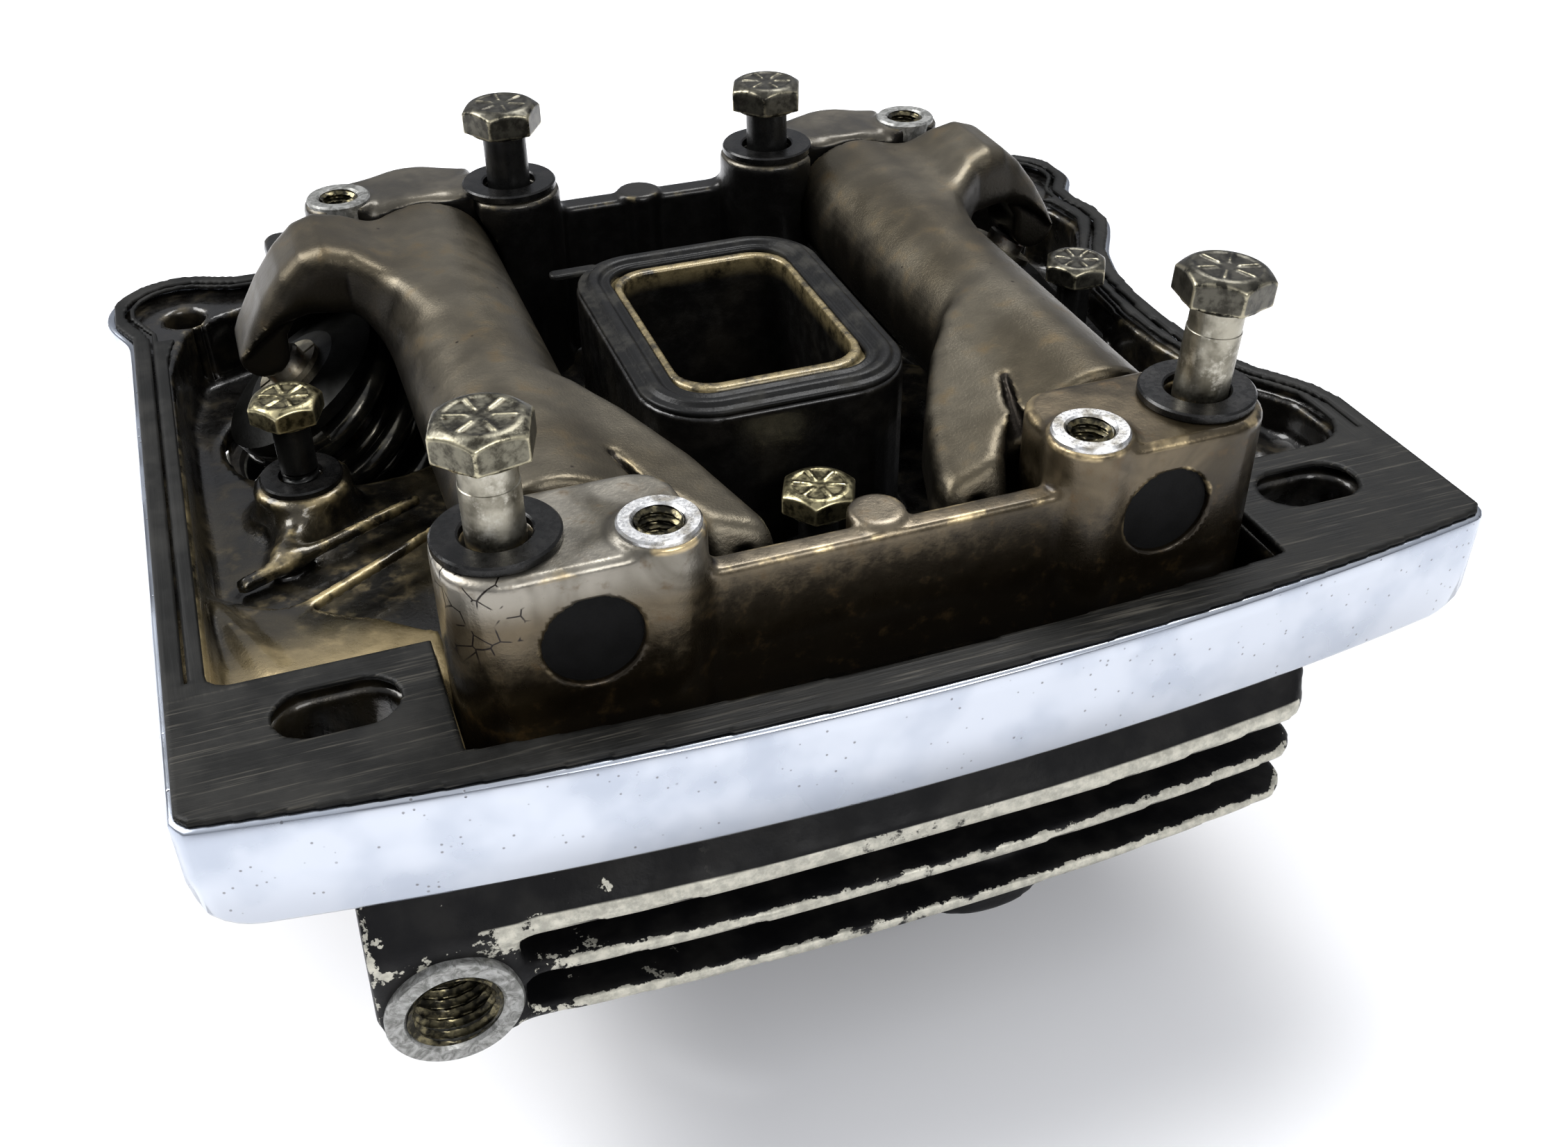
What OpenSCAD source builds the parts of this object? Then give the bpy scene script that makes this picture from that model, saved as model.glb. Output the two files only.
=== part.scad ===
// Overhead-valve engine cylinder head with its lower rocker box, valve train and fasteners.
// Frame: origin at the cylinder axis on the deck face, +Z up the cylinder, +X towards the exhaust side,
// -Y towards the pushrod side. Every height below is measured from the deck face.

/* [Head casting] */
// Height from the deck face to the rocker box gasket
head_h = 64; // [62:0.5:66]
// Half width of the cooling fins
fin_half_w = 73; // [70:0.5:75]
// Thickness of one cooling fin
fin_t = 2.4; // [1.8:0.1:3]
// Distance between neighbouring fins
fin_pitch = 9.4; // [8.5:0.1:10]
// Height of the middle of the top fin
fin_top_z = 53; // [52:0.5:54]
// Radius of the round deck
deck_r = 62; // [60:1:64]
// Radius of the dome that makes the combustion chamber
chamber_r = 55; // [54:0.5:56]
// Radius of the circle that the head bolts stand on
bolt_circle_r = 59; // [58.5:0.5:60]
// Radius of a head bolt hole
head_bolt_r = 5; // [4.8:0.1:5.5]
// Radius of the intake and exhaust ports
port_r = 13.5; // [13:0.5:14]
// Height of the ports' axis
port_z = 20.5; // [20:0.5:21.5]

/* [Valve train] */
// Lean of each valve stem from the cylinder's axis, in degrees
valve_angle = 32.4; // [32:0.1:32.8]
// Height of the point where both valve axes meet, below the deck
apex_z = -30.5; // [-31:0.1:-30]
// Distance from that point to the stem tip
tip_d = 138; // [137.9:0.1:138.1]
// Radius of the valve stems
stem_r = 3.95; // [3.9:0.01:3.96]
// Radius of the rocker shafts
shaft_r = 7; // [6.8:0.1:7.2]
// Distance of each rocker shaft from the middle plane
shaft_x = 43.1; // [42.9:0.1:43.3]
// Height of the rocker shafts
shaft_z = 94; // [93.8:0.1:94.2]
// Outer radius of the rocker arm's tube
rocker_tube_r = 12.3; // [11.8:0.1:12.5]

/* [Rocker box] */
// Height of the rim's metal face
rim_z = 84; // [83:0.5:85]
// Height of the chrome skirt's lower edge
skirt_z = 66; // [65.5:0.5:67]
// Half width of the box
box_half_w = 99.5; // [98:0.5:101]
// Radius of the gently bowed front
front_bow_r = 592; // [500:1:700]
// Height of the four boss tops
boss_z = 106; // [105.5:0.5:106.5]
// Height of the box's floor
floor_z = 69; // [68:0.5:70]
// Height of the tower that carries the rubber seal
tower_z = 99.5; // [98:0.5:100.5]

/* [Fasteners] */
// Radius of the 5/16 inch boss bolts' shanks
bolt_r = 3.97; // [3.9:0.01:4]
// Radius of the 1/4 inch floor bolts' shanks
small_bolt_r = 3.17; // [3.1:0.01:3.2]
// Radius of a boss washer
washer_r = 8.75; // [8:0.05:9]
// Thickness of a boss washer
washer_t = 1.5; // [1.2:0.1:1.8]

/* [Hidden] */
$fn = 48;

INTAKE = -1;
EXHAUST = 1;
eps = 0.01;
gasket_t = 1;
box_base_z = head_h + gasket_t;
front_y = -125;
// Bolt and boss places, given for the +X side and mirrored for the other
front_bolt = [52.6, -100];
back_bolt = [25.9, 14.2];
front_thread = [32, -105.1];
back_thread = [57.2, 17.6];
floor_bolt = [74.5, -26.5];
middle_bolt = [0, -81];
ear = [89.3, 29.5];
slot_at = [76.8, -100.3];
pushrod_at = [18.5, -97];
bolt_hole_r = 4.8;
cover_thread_r = 3.175;
ring_top_z = boss_z + 1.65;
// Valve train distances along the valve's axis, from the point where the axes meet
valve_face_d = 52;
seat_ring_d = [51, 59];
guide_d = [78, 110];
seal_d = [106, 116];
well_d = 96;
collar_d = [96, 98];
spring_d = [98.05, 129.95];
retainer_d = [130, 134.5];
keeper_d = [130.5, 135.6];
seat_ring_r = 21.5;
valve_r = 19;
throat_r = 16;
guide_r = 7;
well_r = 20.5;
relief_r = 18.3;
// Each port opens into a shallow spigot seat, wider on the intake side
intake_spigot_r = 16.5;
exhaust_spigot_r = 15.5;
intake_flange_y = 25.5;
exhaust_flange_y = 27;
flange_x = 78;
stud_root_r = 4.2;
stud_shoulder_x = 79;
// Heights and limits where the two castings are divided into simpler solids
deck_part_z = 42;
bridge_z = 79;
bridge_front_y = -89.2;
bridge_back_y = 11;
// Rocker arm: place of the round pad that presses on the stem tip
pad_r = 4.5;
pad_at = [shaft_x + 33.27, shaft_z - 4.12];
valve_arm_y = [-10, 10];
tube_y = [-89, 12];
bushing_r = 8.5;
bushing_len = 18;
running_gap = 0.05;

// Points of an arc round c, from angle a0 to a1
function arc(c, r, a0, a1, n = 6) = [for (i = [0:n])
    let (a = a0 + (a1 - a0) * i / n) c + r * [cos(a), sin(a)]];
function flip(points) = [for (i = [len(points) - 1:-1:0]) [-points[i][0], points[i][1]]];
function box_corners(x0, y0, x1, y1, r) = concat(
    arc([x0 + r, y0 + r], r, 180, 270), arc([x1 - r, y0 + r], r, 270, 360),
    arc([x1 - r, y1 - r], r, 0, 90), arc([x0 + r, y1 - r], r, 90, 180));

module prism(points, z0, z1) {
    translate([0, 0, z0]) linear_extrude(z1 - z0) polygon(points);
}
module post(at, r, z0, z1) {
    translate([at[0], at[1], z0]) cylinder(r = r, h = z1 - z0);
}
module both_sides() {
    children();
    mirror([1, 0, 0]) children();
}
// Puts children, drawn along +Z from the point where the valve axes meet, on a valve's axis
module on_valve_axis(side) {
    translate([0, 0, apex_z]) rotate([0, side * valve_angle, 0]) children();
}
module ring(r0, r1, z0, z1) {
    difference() {
        translate([0, 0, z0]) cylinder(r = r1, h = z1 - z0);
        translate([0, 0, z0 - 1]) cylinder(r = r0, h = z1 - z0 + 2);
    }
}

// ---- Head casting ----
// Outline of the fins: gently bowed front, rounded corners
fin_outline = concat(
    arc([0, front_y + 3.5 + front_bow_r], front_bow_r, -90 - 6.2, -90 + 6.2, 12),
    arc([fin_half_w - 7, -111], 7, -70, 0),
    arc([fin_half_w - 14, 44], 14, 0, 90), arc([-fin_half_w + 14, 44], 14, 90, 180),
    arc([-fin_half_w + 7, -111], 7, 180, 250));
short_fin_outline = box_corners(-fin_half_w, -66, fin_half_w, 58, 14);
// Outline shared by the head's top flange and the gasket above it
flange_right = [[66, -114], [72, -108], [72, -46], [74, -40], [84, -37], [86, -33], [86.5, 18], [83, 25],
    [68, 32], [60, 38]];
flange_outline = concat(flange_right, flip(flange_right));

module fins() for (i = [0:4]) translate([0, 0, fin_top_z - fin_t / 2 - i * fin_pitch])
    prism(i < 3 ? fin_outline : short_fin_outline, 0, fin_t);
module port_flange(side) {
    flange_half = side == INTAKE ? intake_flange_y : exhaust_flange_y;
    hull() for (y = [-flange_half, flange_half])
        translate([side * 66, y, port_z]) rotate([0, side * 90, 0]) cylinder(r = 8, h = 12, $fn = 32);
    translate([side * 40, 0, port_z]) rotate([0, side * 90, 0]) cylinder(r = 18.4, h = 38);
}
module plug_axis() {
    translate([0, 0, apex_z]) rotate([-42, 0, 0]) children();
}
module breather_boss() {
    points = [[-80, 63], [-80.5, 38], [-75.5, 31], [-64.5, 31], [-59, 38], [-59, 63]];
    translate([0, -100, 0]) rotate([90, 0, 0]) linear_extrude(18) polygon(points);
    translate([-70, -117, 41]) rotate([90, 0, 0]) cylinder(r = 10, h = 3);
}
module head_blank() {
    prism(box_corners(-59, -108, 59, 48, 10), 29, head_h - 5);
    prism(box_corners(-54, -60, 54, 48, 12), 4, 30);
    prism(flange_outline, head_h - 6, head_h);
    post([0, 0], deck_r, 0, 8);
    for (a = [45:90:315]) post(bolt_circle_r * [cos(a), sin(a)], 11, 0, 42);
    fins();
    both_sides() post(pushrod_at, 18, 22, 40);
    breather_boss();
    for (side = [INTAKE, EXHAUST]) {
        port_flange(side);
        intersection() {
            on_valve_axis(side) translate([0, 0, 70]) cylinder(r = 24, h = 60);
            translate([-95, -30, 10]) cube([190, 60, head_h - 10]);
        }
    }
    plug_axis() translate([0, 0, chamber_r]) cylinder(r = 14, h = 27);
}
module head_shape() difference() {
    head_blank();
    translate([0, 0, apex_z]) sphere(r = chamber_r, $fn = 96);
    for (a = [45:90:315]) {
        post(bolt_circle_r * [cos(a), sin(a)], head_bolt_r, -1, head_h + 1);
        post(bolt_circle_r * [cos(a), sin(a)], 10, 42, head_h + 1);
    }
    both_sides() {
        post(pushrod_at, 9, 20, head_h + 1);
        post(pushrod_at, 12.5, 21, 34);
        post(floor_bolt, small_bolt_r, head_h - 20, head_h + 1);
        post(front_bolt, bolt_r, head_h - 22, head_h + 1);
        post(back_bolt, bolt_r, head_h - 14, head_h + 1);
    }
    post(middle_bolt, small_bolt_r, head_h - 20, head_h + 1);
    prism(box_corners(-15, -61.6, 15, -24, 6), head_h - 16, head_h + 1);
    for (side = [INTAKE, EXHAUST]) {
        on_valve_axis(side) {
            translate([0, 0, 45]) cylinder(r = seat_ring_r, h = seat_ring_d[1] - 45);
            translate([0, 0, 50]) cylinder(r = throat_r, h = 24);
            translate([0, 0, 70]) cylinder(r = guide_r, h = 40);
            translate([0, 0, well_d]) cylinder(r = well_r, h = 60);
        }
        translate([side * 33, 0, port_z]) rotate([0, side * 90, 0]) cylinder(r = port_r, h = 60);
        translate([side * 33, 0, port_z]) sphere(r = port_r);
        translate([side * (flange_x - 10), 0, port_z]) rotate([0, side * 90, 0])
            cylinder(r = side == INTAKE ? intake_spigot_r : exhaust_spigot_r, h = 12);
    }
    for (k = [-1, 1]) {
        translate([-flange_x - 1, k * intake_flange_y, port_z]) rotate([0, 90, 0])
            cylinder(r = bolt_r, h = 16);
        translate([64, k * exhaust_flange_y, port_z]) rotate([0, 90, 0]) cylinder(r = stud_root_r, h = 16);
    }
    plug_axis() {
        translate([0, 0, chamber_r - 5]) cylinder(r = 6.4, h = 30);
        translate([0, 0, chamber_r + 16]) cylinder(r = 11, h = 30);
    }
    translate([-70, -99, 41]) rotate([90, 0, 0]) cylinder(r = 6.35, h = 24);
}
module breather_space() translate([-82, -122, 28]) cube([22.9, 13.9, head_h - 6.1 - 28]);
module upper_space() translate([-100, -130, deck_part_z]) cube([200, 200, 30]);
// The casting is divided into an upper part, a lower part and its breather boss
module head_casting() color([0.07, 0.07, 0.075]) difference() {
    intersection() {
        head_shape();
        upper_space();
    }
    breather_space();
}
module head_lower_casting() color([0.09, 0.09, 0.095]) difference() {
    head_shape();
    upper_space();
    breather_space();
}
module breather_boss_end() color([0.11, 0.11, 0.115]) intersection() {
    head_shape();
    breather_space();
}

// ---- Valves and what holds them ----
module seat_ring(side) color([0.55, 0.53, 0.5]) on_valve_axis(side) rotate_extrude()
    polygon([[19.3, seat_ring_d[0]], [seat_ring_r, seat_ring_d[0]], [seat_ring_r, seat_ring_d[1]],
        [throat_r, seat_ring_d[1]], [throat_r, 56.45], [19.3, 53.15]]);
module valve_guide(side) color([0.5, 0.38, 0.2]) on_valve_axis(side)
    ring(stem_r + running_gap, guide_r, guide_d[0], guide_d[1]);
module stem_seal(side) color([0.12, 0.12, 0.12]) on_valve_axis(side) rotate_extrude()
    polygon([[guide_r, seal_d[0]], [8.4, seal_d[0]], [8.4, 112], [6.5, seal_d[1]],
        [stem_r + running_gap, seal_d[1]],
        [stem_r + running_gap, guide_d[1]], [guide_r, guide_d[1]]]);
module valve(side) color([0.45, 0.43, 0.4]) on_valve_axis(side) rotate_extrude()
    polygon([[0, valve_face_d], [valve_r - 0.6, valve_face_d], [valve_r, valve_face_d + 0.6],
        [valve_r, 53.3],
        [15.9, 56.4], [11, 58.2], [7, 61.5], [5, 66], [stem_r, 72], [stem_r, tip_d - 0.5],
        [stem_r - 0.5, tip_d], [0, tip_d]]);
module lower_collar(side) color([0.3, 0.3, 0.3]) on_valve_axis(side) rotate_extrude()
    polygon([[guide_r + 0.1, collar_d[0]], [18, collar_d[0]], [18, collar_d[1] + 1.2], [17.3,
        collar_d[1] + 1.2],
        [17.3, collar_d[1]], [guide_r + 0.1, collar_d[1]]]);
// Compression spring: closed end coils lie flat, the coils between rise evenly
function coil_rise(turn, turns) = min(max((turn - 0.8) / (turns - 1.6), 0), 1);
function coil_points(mean_r, wire_r, turns, z0, z1, rings, sides) = [
    for (i = [0:turns * rings]) let (turn = i / rings, a = 360 * turn,
        z = z0 + wire_r + (z1 - z0 - 2 * wire_r) * coil_rise(turn, turns))
        for (j = [0:sides - 1]) let (b = 360 * j / sides, r = mean_r + wire_r * cos(b))
            [r * cos(a), r * sin(a), z + wire_r * sin(b)]];
module coil(mean_r, wire_r, turns, z0, z1, rings, sides) {
    last = turns * rings;
    faces = concat([[for (j = [0:sides - 1]) j]],
        [for (i = [0:last - 1]) for (j = [0:sides - 1]) let (k = (j + 1) % sides)
            [i * sides + j, (i + 1) * sides + j, (i + 1) * sides + k, i * sides + k]],
        [[for (j = [sides - 1:-1:0]) last * sides + j]]);
    polyhedron(coil_points(mean_r, wire_r, turns, z0, z1, rings, sides), faces, convexity = 10);
}
module outer_spring(side) color([0.16, 0.16, 0.17]) on_valve_axis(side)
    coil(14.8, 2.1, 4.75, spring_d[0], spring_d[1], 20, 8);
module inner_spring(side) color([0.2, 0.2, 0.21]) on_valve_axis(side)
    coil(10.6, 1.5, 6, spring_d[0], spring_d[1], 16, 6);
module upper_collar(side) color([0.35, 0.35, 0.34]) on_valve_axis(side) rotate_extrude()
    polygon([[6.4, retainer_d[0] - 3], [8.9, retainer_d[0] - 3], [8.9, retainer_d[0]], [16.5,
        retainer_d[0]],
        [16.5, retainer_d[0] + 2.4], [9.5, retainer_d[1]], [6.4, retainer_d[1]]]);
module keepers(side) color([0.5, 0.48, 0.4]) on_valve_axis(side) difference() {
    ring(stem_r, 6.4, keeper_d[0], keeper_d[1]);
    translate([-10, -0.4, keeper_d[0] - 1]) cube([20, 0.8, 8]);
}

// ---- Gaskets and seal ----
module base_gasket() color([0.13, 0.12, 0.11]) difference() {
    prism(flange_outline, head_h, box_base_z);
    both_sides() {
        post(pushrod_at, 10, head_h - 1, box_base_z + 1);
        post(floor_bolt, 3.6, head_h - 1, box_base_z + 1);
        post(front_bolt, bolt_hole_r, head_h - 1, box_base_z + 1);
        post(back_bolt, bolt_hole_r, head_h - 1, box_base_z + 1);
    }
    post(middle_bolt, 3.6, head_h - 1, box_base_z + 1);
    prism(box_corners(-15, -61.6, 15, -24, 6), head_h - 1, box_base_z + 1);
    for (side = [INTAKE, EXHAUST]) on_valve_axis(side) translate([0, 0, well_d])
        cylinder(r = well_r, h = 60);
}
module rim_gasket() color([0.09, 0.09, 0.09]) difference() {
    translate([0, 0, rim_z]) linear_extrude(gasket_t) offset(delta = -0.7) polygon(box_outline);
    prism(pocket_outline, rim_z - 1, rim_z + 2);
    both_sides() {
        slot(rim_z - 1, rim_z + 2);
        post(ear, 8.2, rim_z - 1, rim_z + 2);
        prism([[78, 20], [89.3, 18], [97.2, 27], [91, 37], [80, 36], [66, 36.5], [66, 28]],
            rim_z - 1, rim_z + 2);
    }
}
module tower_seal() color([0.1, 0.1, 0.1]) difference() {
    union() {
        prism(box_corners(-22.1, -70.6, 22.1, -10.9, 11.6), tower_z, tower_z + 0.9);
        prism(box_corners(-20.6, -69.1, 20.6, -12.4, 10.1), tower_z + 0.9, tower_z + 1.7);
        prism(box_corners(-25.5, -15.5, -16, -12.5, 1), tower_z, tower_z + 0.8);
    }
    prism(box_corners(-16.6, -64.2, 16.6, -17.4, 7.5), tower_z - 1, tower_z + 3);
}

// ---- Lower rocker box ----
// Outline of the rim: bowed front, straight left side, waisted right side, an ear at each back corner
box_outline = concat(
    arc([0, front_y + front_bow_r], front_bow_r, -90 - 9.5, -90 + 9.5, 18),
    arc([box_half_w - 2, -114], 2, -60, 0, 2),
    [[99.5, -79], [98, -73], [95, -68], [92, -64], [89.5, -58], [87.8, -50], [87, -40], [87.2,
    -30], [88.5, -20],
        [91.5, -11], [96, -4], [99.3, 2], [100, 9], [98.6, 15], [98.8, 20]],
    arc([ear[0], ear[1] + 1], 14, -25, 120, 12),
    [[78, 41], [-78, 41]],
    arc([-ear[0], ear[1] + 1], 14, 60, 205, 12),
    [[-99.6, 19], [-box_half_w, 13]],
    arc([-box_half_w + 2, -114], 2, 180, 240, 2));
// Outline of the open pocket inside the rim
pocket_outline = concat(
    arc([0, front_y + front_bow_r], front_bow_r - 7.2, -90 - 6.07, -90 + 6.07, 12),
    [[62, -90]], arc([85, -82.5], 7.5, -90, 0), [[92.2, -75], [86.5, -66], [83, -57], [80.8, -47],
    [80, -36],
        [81.5, -20], [85, -9], [90, 0], [92.6, 6], [91.5, 14], [88, 19]],
    arc([83, 20], 7, 0, 60, 4), [[76, 30.5], [70, 33], [-70, 33], [-76, 30.5]], arc([-83, 20], 7,
        120, 180, 4),
    [[-91.5, 14], [-92.6, 8]], arc([-89.6, -87], 3, 180, 270, 3), [[-62, -90]]);
// Elevation of the skirt: nearly upright ends with rounded lower corners
skirt_profile = concat([[100.5, rim_z + 1], [-100.5, rim_z + 1], [-99.6, 76]],
    arc([-91.5, skirt_z + 8], 8, 180, 270), arc([91.5, skirt_z + 8], 8, 270, 360), [[99.6, 76]]);
front_boss = concat(arc([32, -104.9], 5.6, 180, 270), arc([53, -102], 8.5, 270, 360), arc([53,
    -98.5], 8.5, 0, 90),
    arc([33, -96], 6, 90, 180));
back_boss = concat(arc([28.5, 14.5], 2, 180, 270, 2), arc([55, 18.6], 6, 270, 360), arc([53, 23], 8, 0, 90),
    arc([43, 23], 8, 90, 150, 4));

module slot(z0, z1) {
    translate([slot_at[0], slot_at[1], z0]) {
        translate([-3.5, 0, 0]) cylinder(r = 5, h = z1 - z0);
        translate([3.5, 0, 0]) cylinder(r = 5, h = z1 - z0);
        translate([-3.5, -5, 0]) cube([7, 10, z1 - z0]);
    }
}
module box_shell() difference() {
    union() {
        intersection() {
            prism(box_outline, skirt_z, rim_z);
            union() {
                translate([0, 8, 0]) rotate([90, 0, 0]) linear_extrude(140) polygon(skirt_profile);
                translate([-110, 7, skirt_z]) cube([220, 60, 30]);
            }
        }
        prism(flange_outline, box_base_z, skirt_z + 1);
    }
    prism(pocket_outline, floor_z, rim_z + 1);
}
module box_bosses() {
    both_sides() {
        prism(front_boss, skirt_z, boss_z);
        prism(back_boss, skirt_z, boss_z);
        post(front_thread, 5.8, skirt_z, ring_top_z);
        post(back_thread, 5.8, skirt_z, ring_top_z);
        post(back_bolt, 9.3, skirt_z, boss_z);
        post(floor_bolt, 8.4, skirt_z, 76);
        prism(box_corners(61, 11.6, 72, 24, 3), skirt_z, 100);
        prism(box_corners(18, 15, 60, 34, 1), skirt_z, rim_z);
        prism(box_corners(18, 15, 60, 32.6, 1), skirt_z, 92);
    }
    post(middle_bolt, 7.4, skirt_z, 76);
    // Shelf behind the front rim, the front ridge wall and the back wall, each wall with a small round nub
    prism(concat(arc([0, front_y + front_bow_r], front_bow_r - 6, -90 - 6, -90 + 6, 12), [[62,
        -105], [-62, -105]]),
        skirt_z, 79);
    prism([[-29, -108.6], [29, -108.6], [29, -104.6], [-29, -104.6]], skirt_z, 99.5);
    post([0, -103.2], 4.3, skirt_z, 100.3);
    prism([[-26, 15], [26, 15], [26, 20], [-26, 20]], skirt_z, 99.5);
    post([0, 17.6], 4.3, skirt_z, 100.3);
    // Cast ledges beside the left and right pockets' front ends
    both_sides() prism([[60, -92], [93, -92], [93, -78], [86, -70], [80, -66], [76, -72], [62,
        -84]], skirt_z, 74);
}
module tower() {
    prism(box_corners(-22.5, -71, 22.5, -10.5, 12), skirt_z, tower_z);
    prism(box_corners(-16.3, -63.9, 16.3, -17.7, 7), tower_z - 1, tower_z + 1.1);
}
module box_casting() difference() {
    union() {
        box_shell();
        box_bosses();
        tower();
    }
    prism(box_corners(-15, -61.6, 15, -19.7, 6), box_base_z - 1, tower_z + 3);
    // Opening that the pushrods come up through
    both_sides() prism(box_corners(8.6, -103.8, 26.4, -85, 5), box_base_z - 1, rim_z);
    both_sides() {
        slot(skirt_z - 2, rim_z + 1);
        post(ear, 3.8, skirt_z - 2, rim_z + 1);
        post(front_bolt, bolt_hole_r, box_base_z - 1, boss_z + 1);
        post(back_bolt, bolt_hole_r, box_base_z - 1, boss_z + 1);
        post(front_thread, cover_thread_r, boss_z - 14, ring_top_z + 1);
        post(back_thread, cover_thread_r, boss_z - 14, ring_top_z + 1);
        post(floor_bolt, 3.6, box_base_z - 1, 80);
        post(floor_bolt, 7.3, 76, 80);
        translate([shaft_x, 26, shaft_z]) rotate([90, 0, 0]) cylinder(r = shaft_r, h = 145);
        // Room for the rocker arm's tube between the bosses
        translate([shaft_x, 12.5, shaft_z]) rotate([90, 0, 0]) cylinder(r = rocker_tube_r + 0.8, h = 102.4);
    }
    post(middle_bolt, 3.6, box_base_z - 1, 80);
    for (side = [INTAKE, EXHAUST]) {
        intersection() {
            on_valve_axis(side) translate([0, 0, 90]) cylinder(r = well_r, h = 50);
            translate([-95, -30, box_base_z - 1]) cube([190, 60, 8]);
        }
        on_valve_axis(side) translate([0, 0, 90]) cylinder(r = relief_r, h = 47);
    }
}
module tower_space() prism(box_corners(-22.5, -71, 22.5, -10.5, 12), floor_z, tower_z + 9);
module front_bridge_space() translate([-61.7, -111, bridge_z]) cube([123.4, bridge_front_y + 111, 40]);
module back_bridge_space() translate([-75, bridge_back_y, bridge_z]) cube([150, 32.8 - bridge_back_y, 40]);
// The casting is divided into its tray, the tower and the two bridges that carry the rocker shafts
module lower_rocker_box() color([0.75, 0.77, 0.8]) difference() {
    box_casting();
    tower_space();
    front_bridge_space();
    intersection() {
        back_bridge_space();
        prism(pocket_outline, bridge_z, rim_z + 40);
    }
}
module breather_tower() color([0.62, 0.6, 0.56]) intersection() {
    box_casting();
    tower_space();
}
module front_boss_bridge() color([0.66, 0.64, 0.6]) intersection() {
    box_casting();
    front_bridge_space();
}
module back_boss_bridge() color([0.66, 0.64, 0.6]) intersection() {
    box_casting();
    back_bridge_space();
    prism(pocket_outline, bridge_z, rim_z + 40);
}

// ---- Rocker arms ----
// Side view of the valve arm: up from the tube over a hump and down to the round pad
hook = concat([[shaft_x, shaft_z], [shaft_x + 1, 104.6], [48, 105.3], [53, 107.6],
    [58, 109.6], [63, 110], [67.5, 107.6],
    [72, 103.4], [76.4, 98], [79.6, 93.4]], arc(pad_at, pad_r, 0, -150, 10), [[70.5, 92.5], [67,
    95.4], [62.5, 97.4],
    [58, 97.2], [54.6, 94.6]]);
push_arm = [[50, -88.4], [31, -88.4], [26.2, -91], [24.4, -92.5], [22.6, -97], [21.8, -101.4],
    [18.4, -101.8],
    [14.8, -99],
    [13.2, -95], [14.6, -89], [19.5, -73], [27, -59], [33, -52], [50, -48]];
module rocker_arm(side) color([0.3, 0.27, 0.22]) mirror([side < 0 ? 1 : 0, 0, 0]) difference() {
    union() {
        translate([shaft_x, tube_y[1], shaft_z]) rotate([90, 0, 0])
            cylinder(r = rocker_tube_r, h = tube_y[1] - tube_y[0]);
        translate([0, valve_arm_y[1], 0]) rotate([90, 0, 0])
            linear_extrude(valve_arm_y[1] - valve_arm_y[0]) polygon(hook);
        prism(push_arm, 89, 99.5);
        post([18, -96], 4.8, 84.5, 90);
    }
    translate([shaft_x, tube_y[1] + 1, shaft_z]) rotate([90, 0, 0])
        cylinder(r = bushing_r, h = tube_y[1] - tube_y[0] + 2);
    translate([18, -96, 84]) sphere(r = 3.4);
}
module rocker_bushings(side) color([0.6, 0.45, 0.25]) translate([side * shaft_x, 0, shaft_z])
    rotate([90, 0, 0])
    for (y = [tube_y[1] - bushing_len, tube_y[0]])
        translate([0, 0, -y - bushing_len]) ring(shaft_r + running_gap, bushing_r, 0, bushing_len);
module rocker_shaft(side) color([0.05, 0.05, 0.05]) difference() {
    translate([side * shaft_x, 26, shaft_z]) rotate([90, 0, 0]) cylinder(r = shaft_r, h = 135.6);
    post([side * front_bolt[0], front_bolt[1]], bolt_hole_r, 80, 110);
}

// ---- Fasteners ----
// Hexagon bolt, drawn with the underside of its head at z = 0
module hex_bolt(r, across_flats, head_t, length) {
    difference() {
        intersection() {
            cylinder(r = across_flats / 2 / cos(30), h = head_t, $fn = 6);
            cylinder(r1 = across_flats * 0.68, r2 = across_flats * 0.49, h = head_t);
        }
        // Six radial grade marks
        for (a = [0:60:300]) rotate([0, 0, a])
            translate([across_flats * 0.17, -0.35, head_t - 0.3]) cube([across_flats * 0.24, 0.7, 1]);
    }
    translate([0, 0, -length]) cylinder(r = r, h = length + eps);
}
module boss_bolts() color([0.5, 0.48, 0.38]) {
    translate([-front_bolt[0], front_bolt[1], boss_z + 13.4]) rotate([0, 0, 12]) hex_bolt(bolt_r,
        12.7, 5.4, 60);
    // This bolt is out of its thread and leans in its clearance hole
    translate([front_bolt[0], front_bolt[1], 96]) rotate([0, 3.4, 0]) translate([0, 0, 25.3])
        rotate([0, 0, 20]) hex_bolt(bolt_r, 12.7, 5.4, 37);
    translate([-back_bolt[0], back_bolt[1], boss_z + 10.9]) hex_bolt(bolt_r, 12.7, 5.4, 58);
    translate([back_bolt[0], back_bolt[1], boss_z + 8.5]) rotate([0, 0, 8]) hex_bolt(bolt_r, 12.7, 5.4, 56);
}
module boss_washers() color([0.12, 0.12, 0.12]) both_sides() for (at = [front_bolt, back_bolt])
    translate([at[0], at[1], boss_z]) ring(4.9, washer_r, 0, washer_t);
module floor_bolts() color([0.5, 0.48, 0.35]) {
    translate([-floor_bolt[0], floor_bolt[1], 88.1]) rotate([0, 0, 10]) hex_bolt(small_bolt_r,
        11.1, 4.4, 28);
    translate([floor_bolt[0], floor_bolt[1], 88]) hex_bolt(small_bolt_r, 11.1, 4.4, 28);
    translate([middle_bolt[0], middle_bolt[1], 86.6]) rotate([0, 0, 5]) hex_bolt(small_bolt_r,
        11.1, 4.4, 28);
}
module floor_washers() color([0.14, 0.14, 0.14]) {
    both_sides() translate([floor_bolt[0], floor_bolt[1], 76]) ring(3.6, 7, 0, 1.2);
    translate([middle_bolt[0], middle_bolt[1], 76]) ring(3.6, 7, 0, 1.2);
}
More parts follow.
